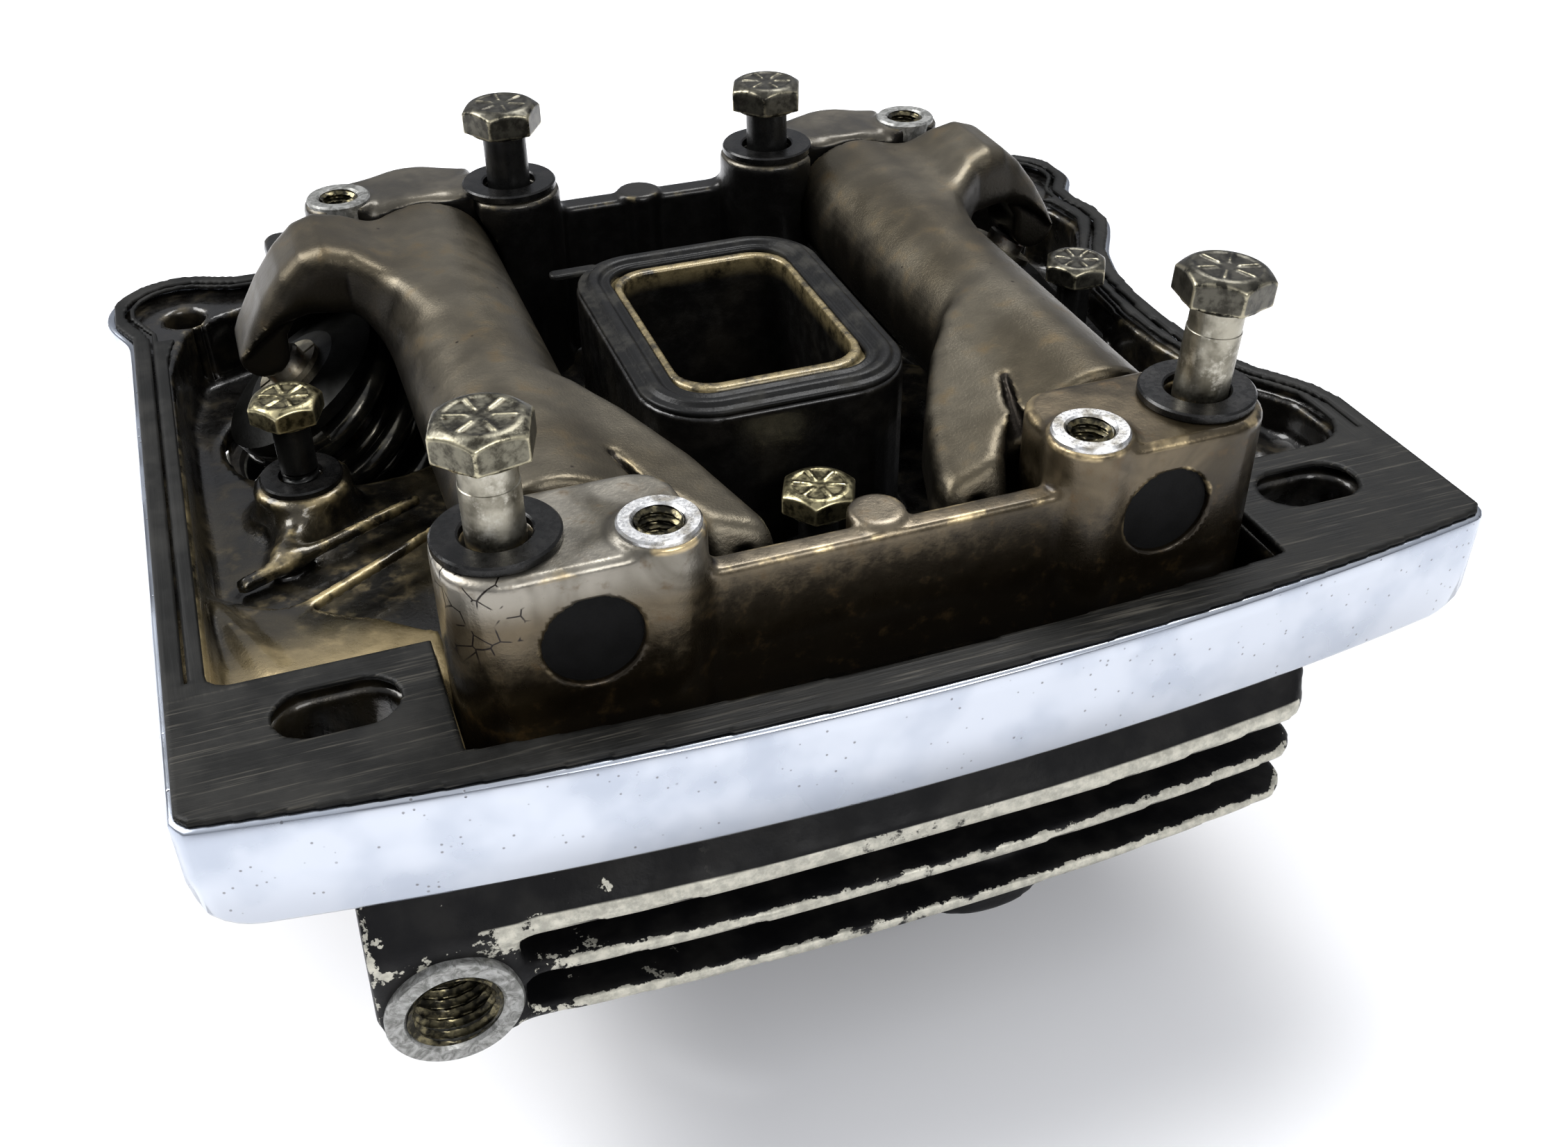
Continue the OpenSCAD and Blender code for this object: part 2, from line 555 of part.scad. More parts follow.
module exhaust_studs() color([0.3, 0.28, 0.26]) for (k = [-1, 1]) translate([0,
    k * exhaust_flange_y, port_z])
    rotate([0, 90, 0]) {
        translate([0, 0, 64]) cylinder(r = stud_root_r, h = stud_shoulder_x - 64);
        translate([0, 0, 64]) cylinder(r = bolt_r, h = 36);
    }

head_casting();
head_lower_casting();
breather_boss_end();
seat_ring(INTAKE);  // intake_seat_ring
seat_ring(EXHAUST);  // exhaust_seat_ring
valve_guide(INTAKE);  // intake_valve_guide
valve_guide(EXHAUST);  // exhaust_valve_guide
stem_seal(INTAKE);  // intake_stem_seal
stem_seal(EXHAUST);  // exhaust_stem_seal
valve(INTAKE);  // intake_valve
valve(EXHAUST);  // exhaust_valve
lower_collar(INTAKE);  // intake_lower_collar
lower_collar(EXHAUST);  // exhaust_lower_collar
outer_spring(INTAKE);  // intake_outer_spring
outer_spring(EXHAUST);  // exhaust_outer_spring
inner_spring(INTAKE);  // intake_inner_spring
inner_spring(EXHAUST);  // exhaust_inner_spring
upper_collar(INTAKE);  // intake_upper_collar
upper_collar(EXHAUST);  // exhaust_upper_collar
keepers(INTAKE);  // intake_keepers
keepers(EXHAUST);  // exhaust_keepers
base_gasket();
lower_rocker_box();
breather_tower();
front_boss_bridge();
back_boss_bridge();
rim_gasket();
tower_seal();
rocker_arm(INTAKE);  // intake_rocker_arm
rocker_arm(EXHAUST);  // exhaust_rocker_arm
rocker_bushings(INTAKE);  // intake_rocker_bushings
rocker_bushings(EXHAUST);  // exhaust_rocker_bushings
rocker_shaft(INTAKE);  // intake_rocker_shaft
rocker_shaft(EXHAUST);  // exhaust_rocker_shaft
boss_bolts();
boss_washers();
floor_bolts();
floor_washers();
exhaust_studs();
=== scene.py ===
import math

import bmesh
import bpy
import numpy as np
from mathutils import Euler, Matrix, Vector


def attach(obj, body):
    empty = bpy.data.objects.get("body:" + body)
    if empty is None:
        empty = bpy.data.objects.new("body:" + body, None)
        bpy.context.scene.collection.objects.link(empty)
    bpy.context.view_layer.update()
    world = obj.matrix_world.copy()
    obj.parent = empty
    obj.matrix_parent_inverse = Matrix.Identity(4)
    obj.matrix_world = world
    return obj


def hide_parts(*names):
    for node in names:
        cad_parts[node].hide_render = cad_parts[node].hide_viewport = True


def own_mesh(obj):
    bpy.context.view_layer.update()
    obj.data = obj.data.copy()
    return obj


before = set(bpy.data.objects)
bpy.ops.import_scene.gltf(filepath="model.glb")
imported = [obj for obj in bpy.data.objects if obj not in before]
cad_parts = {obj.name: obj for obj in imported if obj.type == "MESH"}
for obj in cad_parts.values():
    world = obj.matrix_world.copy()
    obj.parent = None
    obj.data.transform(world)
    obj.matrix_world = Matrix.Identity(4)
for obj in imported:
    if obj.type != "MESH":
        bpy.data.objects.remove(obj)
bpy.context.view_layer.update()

# ---- Head casting ----
# One aluminium sand casting: a core with cooling fins, a flange for the rocker box on top, port flanges, a
# round deck with the chamber below and a boss for the breather at the front left corner. Painted satin black,
# with the paint worn and chipped off the fins' edges.


class Casting:
    """The space in which one casting is shaped, in millimetres. The field is below 0 inside the metal."""

    def __init__(self, low, high, step):
        axes = [np.arange(a, b + step, step, dtype=np.float32) for a, b in zip(low, high)]
        self.low, self.step = np.array(low, float), step
        self.x, self.y, self.z = np.meshgrid(*axes, indexing="ij", sparse=True)
        self.metal = np.full([len(a) for a in axes], 99, np.float32)

    def slab(self, outline, start, end, soft=0.0, along="z"):
        """A flat outline pushed through from start to end; soft rounds its two rims."""
        u, v, w = {"z": (self.x, self.y, self.z), "y": (self.x, self.z, self.y),
                   "x": (self.y, self.z, self.x)}[along]
        points = np.array(outline, np.float32)
        nearest, sign = None, 1.0
        for (ax, ay), (bx, by) in zip(points, np.roll(points, 1, axis=0)):
            ex, ey, wx, wy = bx - ax, by - ay, u - ax, v - ay
            t = np.clip((wx * ex + wy * ey) / (ex * ex + ey * ey), 0, 1)
            d = (wx - ex * t) ** 2 + (wy - ey * t) ** 2
            nearest = d if nearest is None else np.minimum(nearest, d)
            up, down, turn = v >= ay, v < by, ex * wy > ey * wx
            sign = sign * np.where((up & down & turn) | (~up & ~down & ~turn), -1.0, 1.0)
        flat = sign * np.sqrt(nearest) + soft
        deep = np.abs(w - (start + end) / 2) - abs(end - start) / 2 + soft
        return (np.minimum(np.maximum(flat, deep), 0) + np.hypot(np.maximum(flat, 0), np.maximum(deep, 0))
                - soft)

    def rod(self, a, b, r, soft=0.0):
        """A round bar from a to b with flat ends."""
        a, b = np.array(a, float), np.array(b, float)
        way = (b - a) / np.linalg.norm(b - a)
        px, py, pz = self.x - a[0], self.y - a[1], self.z - a[2]
        t = px * way[0] + py * way[1] + pz * way[2]
        across = np.sqrt(np.maximum(px * px + py * py + pz * pz - t * t, 0)) - r + soft
        half = np.linalg.norm(b - a) / 2
        deep = np.abs(t - half) - half + soft
        return (np.minimum(np.maximum(across, deep), 0) + np.hypot(np.maximum(across, 0), np.maximum(deep, 0))
                - soft)

    def limb(self, a, b, ra, rb):
        """A tapering limb with round ends, of radius ra at a and rb at b."""
        a, b = np.array(a, float), np.array(b, float)
        px, py, pz = self.x - a[0], self.y - a[1], self.z - a[2]
        ba = b - a
        t = np.clip((px * ba[0] + py * ba[1] + pz * ba[2]) / (ba @ ba), 0, 1)
        return (np.sqrt((px - ba[0] * t) ** 2 + (py - ba[1] * t) ** 2 + (pz - ba[2] * t) ** 2)
                - (ra + (rb - ra) * t))

    def ball(self, at, r):
        return np.sqrt((self.x - at[0]) ** 2 + (self.y - at[1]) ** 2 + (self.z - at[2]) ** 2) - r

    def join(self, shape, blend=0.0):
        """Adds a shape, with a fillet of about blend millimetres where it meets the rest."""
        if blend:
            h = np.maximum(blend - np.abs(self.metal - shape), 0)
            self.metal = np.minimum(self.metal, shape) - h * h / (4 * blend)
        else:
            self.metal = np.minimum(self.metal, shape)

    def keep(self, shape, blend=0.0):
        """Keeps only what is inside a shape, with the edge rounded by about blend."""
        self.metal = both(self.metal, shape, blend)

    def cut(self, shape, blend=0.0):
        self.keep(-shape, blend)

    def skin(self, name):
        """The casting's surface as one closed mesh, with how sharply each point stands out kept as 'edge'."""
        f = self.metal
        for face in (0, -1):
            f[face], f[:, face], f[:, :, face] = 9, 9, 9
        inside = f < 0
        count = sum(inside[i:f.shape[0] - 1 + i, j:f.shape[1] - 1 + j, k:f.shape[2] - 1 + k].astype(np.int8)
                    for i in (0, 1) for j in (0, 1) for k in (0, 1))
        cells = np.argwhere((count > 0) & (count < 8))
        total, hits = np.zeros(cells.shape), np.zeros(len(cells))
        corners = np.array([(i, j, k) for i in (0, 1) for j in (0, 1) for k in (0, 1)])
        for a in corners:
            for b in corners:
                if (b - a).sum() == 1 and (b - a).min() == 0:
                    fa, fb = (f[tuple((cells + c).T)].astype(float) for c in (a, b))
                    crossed = (fa < 0) != (fb < 0)
                    t = np.where(crossed, fa / np.where(crossed, fa - fb, 1), 0)
                    total += np.where(crossed[:, None], a + (b - a) * t[:, None], 0)
                    hits += crossed
        points = (cells + total / hits[:, None]) * self.step + self.low
        number = np.full(count.shape, -1)
        number[tuple(cells.T)] = np.arange(len(cells))
        quads = []
        for axis in range(3):
            one, two = (axis + 1) % 3, (axis + 2) % 3
            behind = np.take(inside, range(f.shape[axis] - 1), axis)
            beyond = np.take(inside, range(1, f.shape[axis]), axis)
            here = np.argwhere(behind != beyond)
            here = here[(here[:, one] > 0) & (here[:, two] > 0)]
            outward = inside[tuple(here.T)]
            ring = []
            for du, dv in ((-1, -1), (0, -1), (0, 0), (-1, 0)):
                shift = np.zeros(3, int)
                shift[one], shift[two] = du, dv
                ring.append(number[tuple((here + shift).T)])
            ring = np.stack(ring, 1)
            quads.append(np.where(outward[:, None], ring, ring[:, ::-1]))
        return made(name, points, np.concatenate(quads))


def both(one, other, blend=0.0):
    """What is inside two shapes at once, with the edge between them rounded by about blend."""
    if not blend:
        return np.maximum(one, other)
    h = np.maximum(blend - np.abs(one - other), 0)
    return np.maximum(one, other) + h * h / (4 * blend)


def made(name, points, faces):
    """A mesh object at the origin from points in millimetres."""
    mesh = bpy.data.meshes.new(name)
    points = np.asarray(points, float) * 0.001
    faces = [tuple(int(i) for i in face) for face in faces]
    mesh.from_pydata(points.tolist(), [], faces)
    mesh.validate()
    mesh.shade_smooth()
    piece = bpy.data.objects.new(name, mesh)
    bpy.context.scene.collection.objects.link(piece)
    note_edges(mesh)
    return piece


def note_edges(mesh):
    """Writes how convex the surface is at each point, per millimetre, as the attribute 'edge'."""
    n = len(mesh.vertices)
    points, normals = np.zeros(n * 3), np.zeros(n * 3)
    mesh.vertices.foreach_get("co", points)
    mesh.vertex_normals.foreach_get("vector", normals)
    points, normals = points.reshape(-1, 3) * 1000, normals.reshape(-1, 3)
    pairs = np.zeros(len(mesh.edges) * 2, int)
    mesh.edges.foreach_get("vertices", pairs)
    a, b = pairs.reshape(-1, 2).T
    span = points[b] - points[a]
    bend = ((normals[b] - normals[a]) * span).sum(1) / np.maximum((span * span).sum(1), 1e-6)
    near = np.maximum(np.bincount(a, minlength=n) + np.bincount(b, minlength=n), 1)
    value = (np.bincount(a, bend, n) + np.bincount(b, bend, n)) / near
    for _ in range(2):
        value = 0.5 * value + 0.5 * (np.bincount(a, value[b], n) + np.bincount(b, value[a], n)) / near
    mesh.attributes.new("edge", "FLOAT", "POINT").data.foreach_set("value", value.astype(np.float32))


def arc(cx, cy, r, a0, a1, n=6):
    """Points on an arc from angle a0 to a1, in degrees."""
    return [(cx + r * math.cos(math.radians(a0 + (a1 - a0) * i / n)),
             cy + r * math.sin(math.radians(a0 + (a1 - a0) * i / n)))
            for i in range(n + 1)]


def flipped(outline):
    """The mirror image across X, still running the same way round."""
    return [(-x, y) for x, y in reversed(outline)]


def sided(outline, side):
    """An outline drawn for the exhaust side, put on either side."""
    return [(side * x, y) for x, y in outline]


def cornered(x0, y0, x1, y1, r, n=6):
    """A rectangle with rounded corners."""
    return (arc(x0 + r, y0 + r, r, 180, 270, n) + arc(x1 - r, y0 + r, r, 270, 360, n)
            + arc(x1 - r, y1 - r, r, 0, 90, n)
            + arc(x0 + r, y1 - r, r, 90, 180, n))


class Finish:
    """Builds one procedural finish. Sockets are passed about as plain values."""

    def __init__(self, name):
        self.material = bpy.data.materials.new(name)
        self.material.use_nodes = True
        self.tree = self.material.node_tree
        self.tree.nodes.clear()
        self.place = self.node("TexCoord").outputs["Object"]
        self.height = None

    def node(self, kind, *values, **settings):
        made_node = self.tree.nodes.new("ShaderNode" + kind)
        for key, value in settings.items():
            setattr(made_node, key, value)
        for key, value in zip(range(len(values)), values):
            self.put(made_node.inputs[key], value)
        return made_node

    def put(self, socket, value):
        if isinstance(value, bpy.types.NodeSocket):
            self.tree.links.new(value, socket)
        elif value is not None:
            socket.default_value = ((*value, 1) if hasattr(value, "__len__") and len(value) == 3
                                    and len(socket.default_value) == 4 else value)

    def clouds(self, size, detail=3.0, rough=0.55, stretch=(1, 1, 1), turn=(0, 0, 0), twist=0.0):
        """Noise whose patches are about size millimetres across; stretch makes them longer that way."""
        spread = self.node("Mapping", self.place, (0, 0, 0), turn, tuple(1 / s for s in stretch)).outputs[0]
        noise = self.node("TexNoise")
        for key, value in (("Vector", spread), ("Scale", 1000 / size), ("Detail", detail),
                           ("Roughness", rough), ("Distortion", twist)):
            self.put(noise.inputs[key], value)
        return noise.outputs[0]

    def specks(self, size):
        """Distance to the nearest of points about size millimetres apart, and each cell's colour."""
        cells = self.node("TexVoronoi")
        for key, value in (("Vector", self.place), ("Scale", 1000 / size)):
            self.put(cells.inputs[key], value)
        return cells.outputs["Distance"], cells.outputs["Color"]

    def fit(self, value, a, b, c=0.0, d=1.0):
        fitted = self.node("MapRange", value, a, b, c, d, interpolation_type="SMOOTHSTEP")
        return fitted.outputs[0]

    def math(self, operation, a, b=0.5):
        return self.node("Math", a, b, operation=operation).outputs[0]

    def times(self, a, b):
        return self.math("MULTIPLY", a, b)

    def plus(self, a, b):
        return self.math("ADD", a, b)

    def most(self, a, b):
        return self.math("MAXIMUM", a, b)

    def mix(self, share, a, b):
        """Colour a, turning to colour b as share goes from 0 to 1."""
        blended = self.node("Mix", data_type="RGBA")
        for key, value in ((0, share), (6, a), (7, b)):
            self.put(blended.inputs[key], value)
        return blended.outputs[2]

    def edge(self):
        return self.node("Attribute", attribute_name="edge").outputs["Fac"]

    def faces(self, axis):
        """How squarely the surface faces up (Z) or along another axis, from -1 to 1."""
        split = self.node("SeparateXYZ", self.node("NewGeometry").outputs["True Normal"])
        return split.outputs[axis]

    def where(self, axis):
        """The place along one axis, in metres."""
        return self.node("SeparateXYZ", self.place).outputs[axis]

    def bump(self, height, millimetres, strength=1.0):
        bumped = self.node("Bump")
        for key, value in (("Height", height), ("Distance", millimetres * 0.001), ("Strength", strength),
                           ("Normal", self.height)):
            self.put(bumped.inputs[key], value)
        self.height = bumped.outputs[0]

    def end(self, colour, roughness, metallic=0.0, **sockets):
        shader = self.node("BsdfPrincipled")
        for key, value in (("Base Color", colour), ("Roughness", roughness), ("Metallic", metallic),
                           ("Normal", self.height)):
            self.put(shader.inputs[key], value)
        for key, value in sockets.items():
            self.put(shader.inputs[key.replace("_", " ")], value)
        self.node("OutputMaterial", shader.outputs[0])
        return self.material


def dress(piece, material, slot, *nodes, body="head"):
    """Gives a piece its finish, its body and the CAD nodes that it stands for; slot is not used."""
    piece.data.materials.clear()
    piece.data.materials.append(material)
    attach(piece, body)
    if nodes:
        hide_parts(*nodes)
    return piece


apex_z, lean = -30.5, math.radians(32.4)


def on_valve(side, d):
    """A point d along a valve's axis from where the two axes meet."""
    return np.array((side * d * math.sin(lean), 0, apex_z + d * math.cos(lean)))


front_y, bow_r = -125, 592
fin_outline = (arc(0, front_y + 3.5 + bow_r, bow_r, -96.2, -83.8, 12) + arc(66, -111, 7, -70, 0)
               + arc(59, 44, 14, 0, 90)
               + arc(-59, 44, 14, 90, 180) + arc(-66, -111, 7, 180, 250))
flange_right = [(66, -114), (72, -108), (72, -46), (74, -40), (84, -37), (86, -33), (86.5, 18), (83, 25),
                (68, 32), (60, 38)]
flange_outline = flange_right + flipped(flange_right)
pushrod_at, front_bolt, back_bolt, floor_bolt, middle_bolt = ((18.5, -97), (52.6, -100), (25.9, 14.2),
                                                              (74.5, -26.5), (0, -81))
bolt_r, small_bolt_r, port_z, breather_x, breather_z = 3.97, 3.17, 20.5, -70, 41
head_bolts = arc(0, 0, 59, 45, 315, 3)


def head_metal(low_z, high_z, step):
    c = Casting((-90, -122, low_z - 2), (90, 60, high_z + 2), step)
    c.join(c.slab(cornered(-59, -108, 59, 48, 10), 29, 59))
    c.join(c.slab(cornered(-54, -60, 54, 48, 12), 4, 31), 3)
    c.join(c.slab(flange_outline, 58, 64, 1), 3)
    c.join(c.rod((0, 0, 0), (0, 0, 8), 62, 1), 2)
    for at in head_bolts:
        c.join(c.rod((*at, 0), (*at, 42), 11, 1), 3)
    for i in range(5):
        z = 53 - 9.4 * i
        c.join(c.slab(fin_outline if i < 3 else cornered(-73, -66, 73, 58, 14), z - 1.2, z + 1.2, 0.8), 2.2)
    for side in (-1, 1):
        x, y = side * pushrod_at[0], pushrod_at[1]
        c.join(c.rod((x, y, 23 - side), (x, y, 40), 16.5 + side * 1.5, 1.5), 2)
        c.join(c.rod((side * 40, 0, port_z), (side * 78, 0, port_z), 18.4, 1), 3)
        flange = (arc(27, port_z, 8, -70, 70, 8) + arc(0, port_z, 18.4, 60, 120, 6)
                  + arc(-27, port_z, 8, 110, 250, 8) + arc(0, port_z, 18.4, 240, 300, 6))
        c.join(c.slab(flange, side * 66, side * 78, 1, "x"), 2)
        well = c.rod(on_valve(side, 70), on_valve(side, 130), 24, 1)
        c.join(np.maximum(well, c.z - 63.5), 3)
    plug = np.array((0, math.sin(math.radians(42)), math.cos(math.radians(42))))
    base = np.array((0, 0, apex_z))
    c.join(c.rod(base + plug * 55, base + plug * 82, 14, 1), 4)
    boss = c.slab([(-80, 62.5), (-80.8, 41), (-78.5, 35), (-71, 30), (-62, 33), (-59.5, 38), (-59.5, 62.5)],
                  -118.6, -100, 0.7, "y")
    c.join(np.maximum(boss, (c.z - 53 - 2.2 * (c.y + 118.8)) / 2.4), 3)
    # At the front, the top fin rises in one slope to the flange
    rise = (c.z - 54 - 1.5 * (c.y + 121.5 - c.x ** 2 / (2 * bow_r))) / 1.8
    c.join(np.maximum(np.maximum(c.slab(fin_outline, 52, 64), rise), c.y + 98), 2)
    # Machined and cored openings
    c.cut(c.ball(base, 55))
    for at in head_bolts:
        c.cut(c.rod((*at, -5), (*at, 70), 5))
        c.cut(c.rod((*at, 42), (*at, 70), 10, 1))
    for side in (-1, 1):
        x, y = side * pushrod_at[0], pushrod_at[1]
        c.cut(c.rod((x, y, 15), (x, y, 70), 9))
        c.cut(c.rod((x, y, 15), (x, y, 34), 12.5))
        for at, r, depth in ((floor_bolt, small_bolt_r, 20), (front_bolt, bolt_r, 22),
                             (back_bolt, bolt_r, 14)):
            c.cut(c.rod((side * at[0], at[1], 64 - depth), (side * at[0], at[1], 70), r))
        c.cut(c.rod(on_valve(side, 40), on_valve(side, 59), 21.5))
        c.cut(c.rod(on_valve(side, 50), on_valve(side, 74), 16, 3))
        c.cut(c.rod(on_valve(side, 70), on_valve(side, 110), 7))
        c.cut(c.rod(on_valve(side, 96), on_valve(side, 160), 20.5))
        c.cut(c.rod((side * 28, 0, port_z), (side * 90, 0, port_z), 13.5))
        c.cut(c.rod((side * 68, 0, port_z), (side * 90, 0, port_z), 16 - side * 0.5))
        for y in (-26.25 - side * 0.75, 26.25 + side * 0.75):
            c.cut(c.rod((side * 64, y, port_z), (side * 90, y, port_z), 4.1 + side * 0.1))
    c.cut(c.rod((*middle_bolt, 44), (*middle_bolt, 70), small_bolt_r))
    c.cut(c.slab(cornered(-15, -61.6, 15, -24, 6), 48, 70, 1.5))
    c.cut(c.rod(base + plug * 50, base + plug * 90, 6.4))
    c.cut(c.rod(base + plug * 71, base + plug * 100, 11))
    c.cut(c.rod((breather_x, -99, breather_z), (breather_x, -130, breather_z), 7.2))
    c.keep(np.maximum(low_z - c.z, c.z - high_z) + 0 * c.x)
    return c


paint = Finish("black_engine_paint")
flake = paint.clouds(3.0, 5, 0.7)
bow = paint.math("SUBTRACT", paint.where(1),
                 paint.times(paint.times(paint.where(0), paint.where(0)), 0.5 / (bow_r * 0.001)))
ragged = paint.plus(bow, paint.fit(flake, 0.3, 0.7, 0.0004, -0.0003))
front_rim = paint.times(paint.fit(ragged, -0.1207, -0.1209), paint.fit(paint.faces(2), -0.55, -0.35))
front_rim = paint.times(front_rim,
                        paint.fit(paint.math("ABSOLUTE", paint.math("SUBTRACT", paint.where(2), 0.0428)),
                                  0.0121, 0.0118))
left_end = paint.plus(paint.where(0), paint.fit(paint.where(2), 0.045, 0.050, 0, 0.0075))
left_end = paint.plus(left_end, paint.fit(flake, 0.3, 0.7, -0.006, 0.006))
front_rim = paint.times(front_rim, paint.fit(left_end, -0.0560, -0.0540))
chip = paint.plus(paint.fit(paint.edge(), 0.10, 0.42), paint.fit(flake, 0.42, 0.62, -0.55, 0.30))
chip = paint.times(paint.fit(chip, 0.70, 0.78), paint.fit(paint.where(2), 0.0305, 0.0325))
corner = paint.times(paint.fit(paint.where(0), -0.030, -0.050), paint.fit(paint.where(1), -0.104, -0.112))
patch = paint.times(paint.fit(paint.clouds(7, 5, 0.62), 0.60, 0.615), corner)
deck, seat = paint.fit(paint.where(2), 0.0006, 0.0002), paint.fit(paint.where(2), 0.0633, 0.0637)
bare = paint.most(paint.most(paint.most(chip, patch), front_rim), paint.most(deck, seat))
black = paint.mix(paint.fit(paint.clouds(9, 4), 0.4, 0.7), (0.0035, 0.0035, 0.004), (0.011, 0.0105, 0.010))
grey = paint.mix(paint.fit(paint.clouds(1.8, 5, 0.7), 0.35, 0.65), (0.36, 0.35, 0.30), (0.56, 0.54, 0.46))
paint.bump(paint.clouds(1.6, 4, 0.6), 0.10)
paint.bump(paint.clouds(14, 2), 0.5, 0.5)
paint.bump(bare, -0.08, 0.6)
head_finish = paint.end(paint.mix(bare, black, grey), paint.fit(paint.clouds(6, 4), 0.3, 0.7, 0.42, 0.6),
                        paint.times(bare, 0.5),
                         Specular_IOR_Level=0.13)

for part_name, low_z, high_z in (("head_upper_casting", 33, 64), ("head_lower_casting", 0, 33)):
    piece = head_metal(low_z, high_z, 1.0).skin(part_name)
    dress(piece, head_finish, "black_painted_alloy", "head_casting" if low_z else "head_lower_casting")

# ---- Breather thread and the other machined faces of the head ----
# Bare aluminium where a tool has cut: a ring with a coarse female thread at the breather boss. The thread is
# one helical ridge, made by winding a profile round a cylinder.


def tree_math(tree, operation, a, b=None):
    """A maths node in a node tree, with its inputs joined up or set."""
    n = tree.nodes.new("ShaderNodeMath")
    n.operation = operation
    for i, v in enumerate((a, b)):
        if isinstance(v, bpy.types.NodeSocket):
            tree.links.new(v, n.inputs[i])
        elif v is not None:
            n.inputs[i].default_value = v
    return n.outputs[0]


def threaded_wall(tree_name, material):
    """A node tree that winds a flat grid into a threaded wall along Z."""
    tree = bpy.data.node_groups.new(tree_name, "GeometryNodeTree")
    for title, kind, value in (("Radius", "NodeSocketFloat", 0.006), ("Depth", "NodeSocketFloat", 0.0006),
                               ("Pitch", "NodeSocketFloat", 0.002),
                               ("Length", "NodeSocketFloat", 0.01), ("Rows", "NodeSocketInt", 80),
                               ("Columns", "NodeSocketInt", 49)):
        tree.interface.new_socket(title, in_out="INPUT", socket_type=kind).default_value = value
    tree.interface.new_socket("Geometry", in_out="OUTPUT", socket_type="NodeSocketGeometry")
    links, given, out = tree.links, tree.nodes.new("NodeGroupInput"), tree.nodes.new("NodeGroupOutput")

    grid = tree.nodes.new("GeometryNodeMeshGrid")
    grid.inputs["Size X"].default_value = 1
    links.new(given.outputs["Length"], grid.inputs["Size Y"])
    links.new(given.outputs["Columns"], grid.inputs["Vertices X"])
    links.new(given.outputs["Rows"], grid.inputs["Vertices Y"])
    split = tree.nodes.new("ShaderNodeSeparateXYZ")
    links.new(tree.nodes.new("GeometryNodeInputPosition").outputs[0], split.inputs[0])
    turns = tree_math(tree, "ADD", split.outputs[0], 0.5)
    phase = tree_math(tree, "FRACT",
                      tree_math(tree, "ADD",
                                tree_math(tree, "SUBTRACT",
                                          tree_math(tree, "DIVIDE", split.outputs[1], given.outputs["Pitch"]),
                                          turns), 50.0))
    ridge = tree_math(tree, "MINIMUM",
                      tree_math(tree, "MULTIPLY",
                                tree_math(tree, "ABSOLUTE", tree_math(tree, "SUBTRACT", phase, 0.5)), 2.6),
                      1.0)
    radius = tree_math(tree, "ADD", given.outputs["Radius"],
                       tree_math(tree, "MULTIPLY", ridge, given.outputs["Depth"]))
    angle = tree_math(tree, "MULTIPLY", turns, 2 * math.pi)
    join = tree.nodes.new("ShaderNodeCombineXYZ")
    links.new(tree_math(tree, "MULTIPLY", tree_math(tree, "COSINE", angle), radius), join.inputs[0])
    links.new(tree_math(tree, "MULTIPLY", tree_math(tree, "SINE", angle), radius), join.inputs[1])
    links.new(split.outputs[1], join.inputs[2])
    move, real, paint_on = (tree.nodes.new("GeometryNode" + n)
                            for n in ("SetPosition", "RealizeInstances", "SetMaterial"))
    links.new(grid.outputs["Mesh"], move.inputs["Geometry"])
    links.new(join.outputs[0], move.inputs["Position"])
    merge = tree.nodes.new("GeometryNodeMergeByDistance")
    merge.inputs["Distance"].default_value = 1e-6
    links.new(move.outputs[0], merge.inputs[0])
    links.new(merge.outputs[0], real.inputs[0])
    links.new(real.outputs[0], paint_on.inputs[0])
    paint_on.inputs["Material"].default_value = material
    links.new(paint_on.outputs[0], out.inputs[0])
    return tree


def grown(name, tree, values):
    """Runs a node tree on an empty object and returns the plain mesh that it makes."""
    seed = bpy.data.objects.new(name + "_seed", bpy.data.meshes.new(name + "_seed"))
    bpy.context.scene.collection.objects.link(seed)
    modifier = seed.modifiers.new("grow", "NODES")
    modifier.node_group = tree
    named = {item.name: item.identifier for item in tree.interface.items_tree if item.in_out == "INPUT"}
    for title, value in values.items():
        modifier[named[title]] = value
    bpy.context.view_layer.update()
    mesh = bpy.data.meshes.new_from_object(seed.evaluated_get(bpy.context.evaluated_depsgraph_get()))
    bpy.data.objects.remove(seed)
    return mesh


def placed(mesh, at, way=(0, 0, 1), spin=0.0):
    """Turns a mesh's +Z to point along way and moves it to a point in millimetres."""
    turn_to = Vector((0, 0, 1)).rotation_difference(Vector(way)).to_matrix().to_4x4()
    mesh.transform(Matrix.Translation(Vector(at) * 0.001) @ turn_to @ Matrix.Rotation(spin, 4, "Z"))
    return mesh


def gathered(name, meshes):
    """One object from several meshes that are in their places."""
    whole = bmesh.new()
    for mesh in meshes:
        whole.from_mesh(mesh)
    merged = bpy.data.meshes.new(name)
    whole.to_mesh(merged)
    whole.free()
    merged.materials.clear()
    merged.shade_smooth()
    merged.set_sharp_from_angle(angle=math.radians(38))
    note_edges(merged)
    piece = bpy.data.objects.new(name, merged)
    bpy.context.scene.collection.objects.link(piece)
    return piece


def turned_up(profile, at, way=(0, 0, 1), sides=64):
    """A turned part: a closed profile of (radius, height) points spun round its axis, in millimetres."""
    n = len(profile)
    points = [(r * math.cos(2 * math.pi * i / sides), r * math.sin(2 * math.pi * i / sides), z)
              for i in range(sides) for r, z in profile]
    faces = [(i * n + j, ((i + 1) % sides) * n + j, ((i + 1) % sides) * n + (j + 1) % n, i * n + (j + 1) % n)
             for i in range(sides) for j in range(n)]
    mesh = bpy.data.meshes.new("turned")
    mesh.from_pydata([tuple(v * 0.001 for v in p) for p in points], [], faces)
    mesh.validate()
    return placed(mesh, at, way)


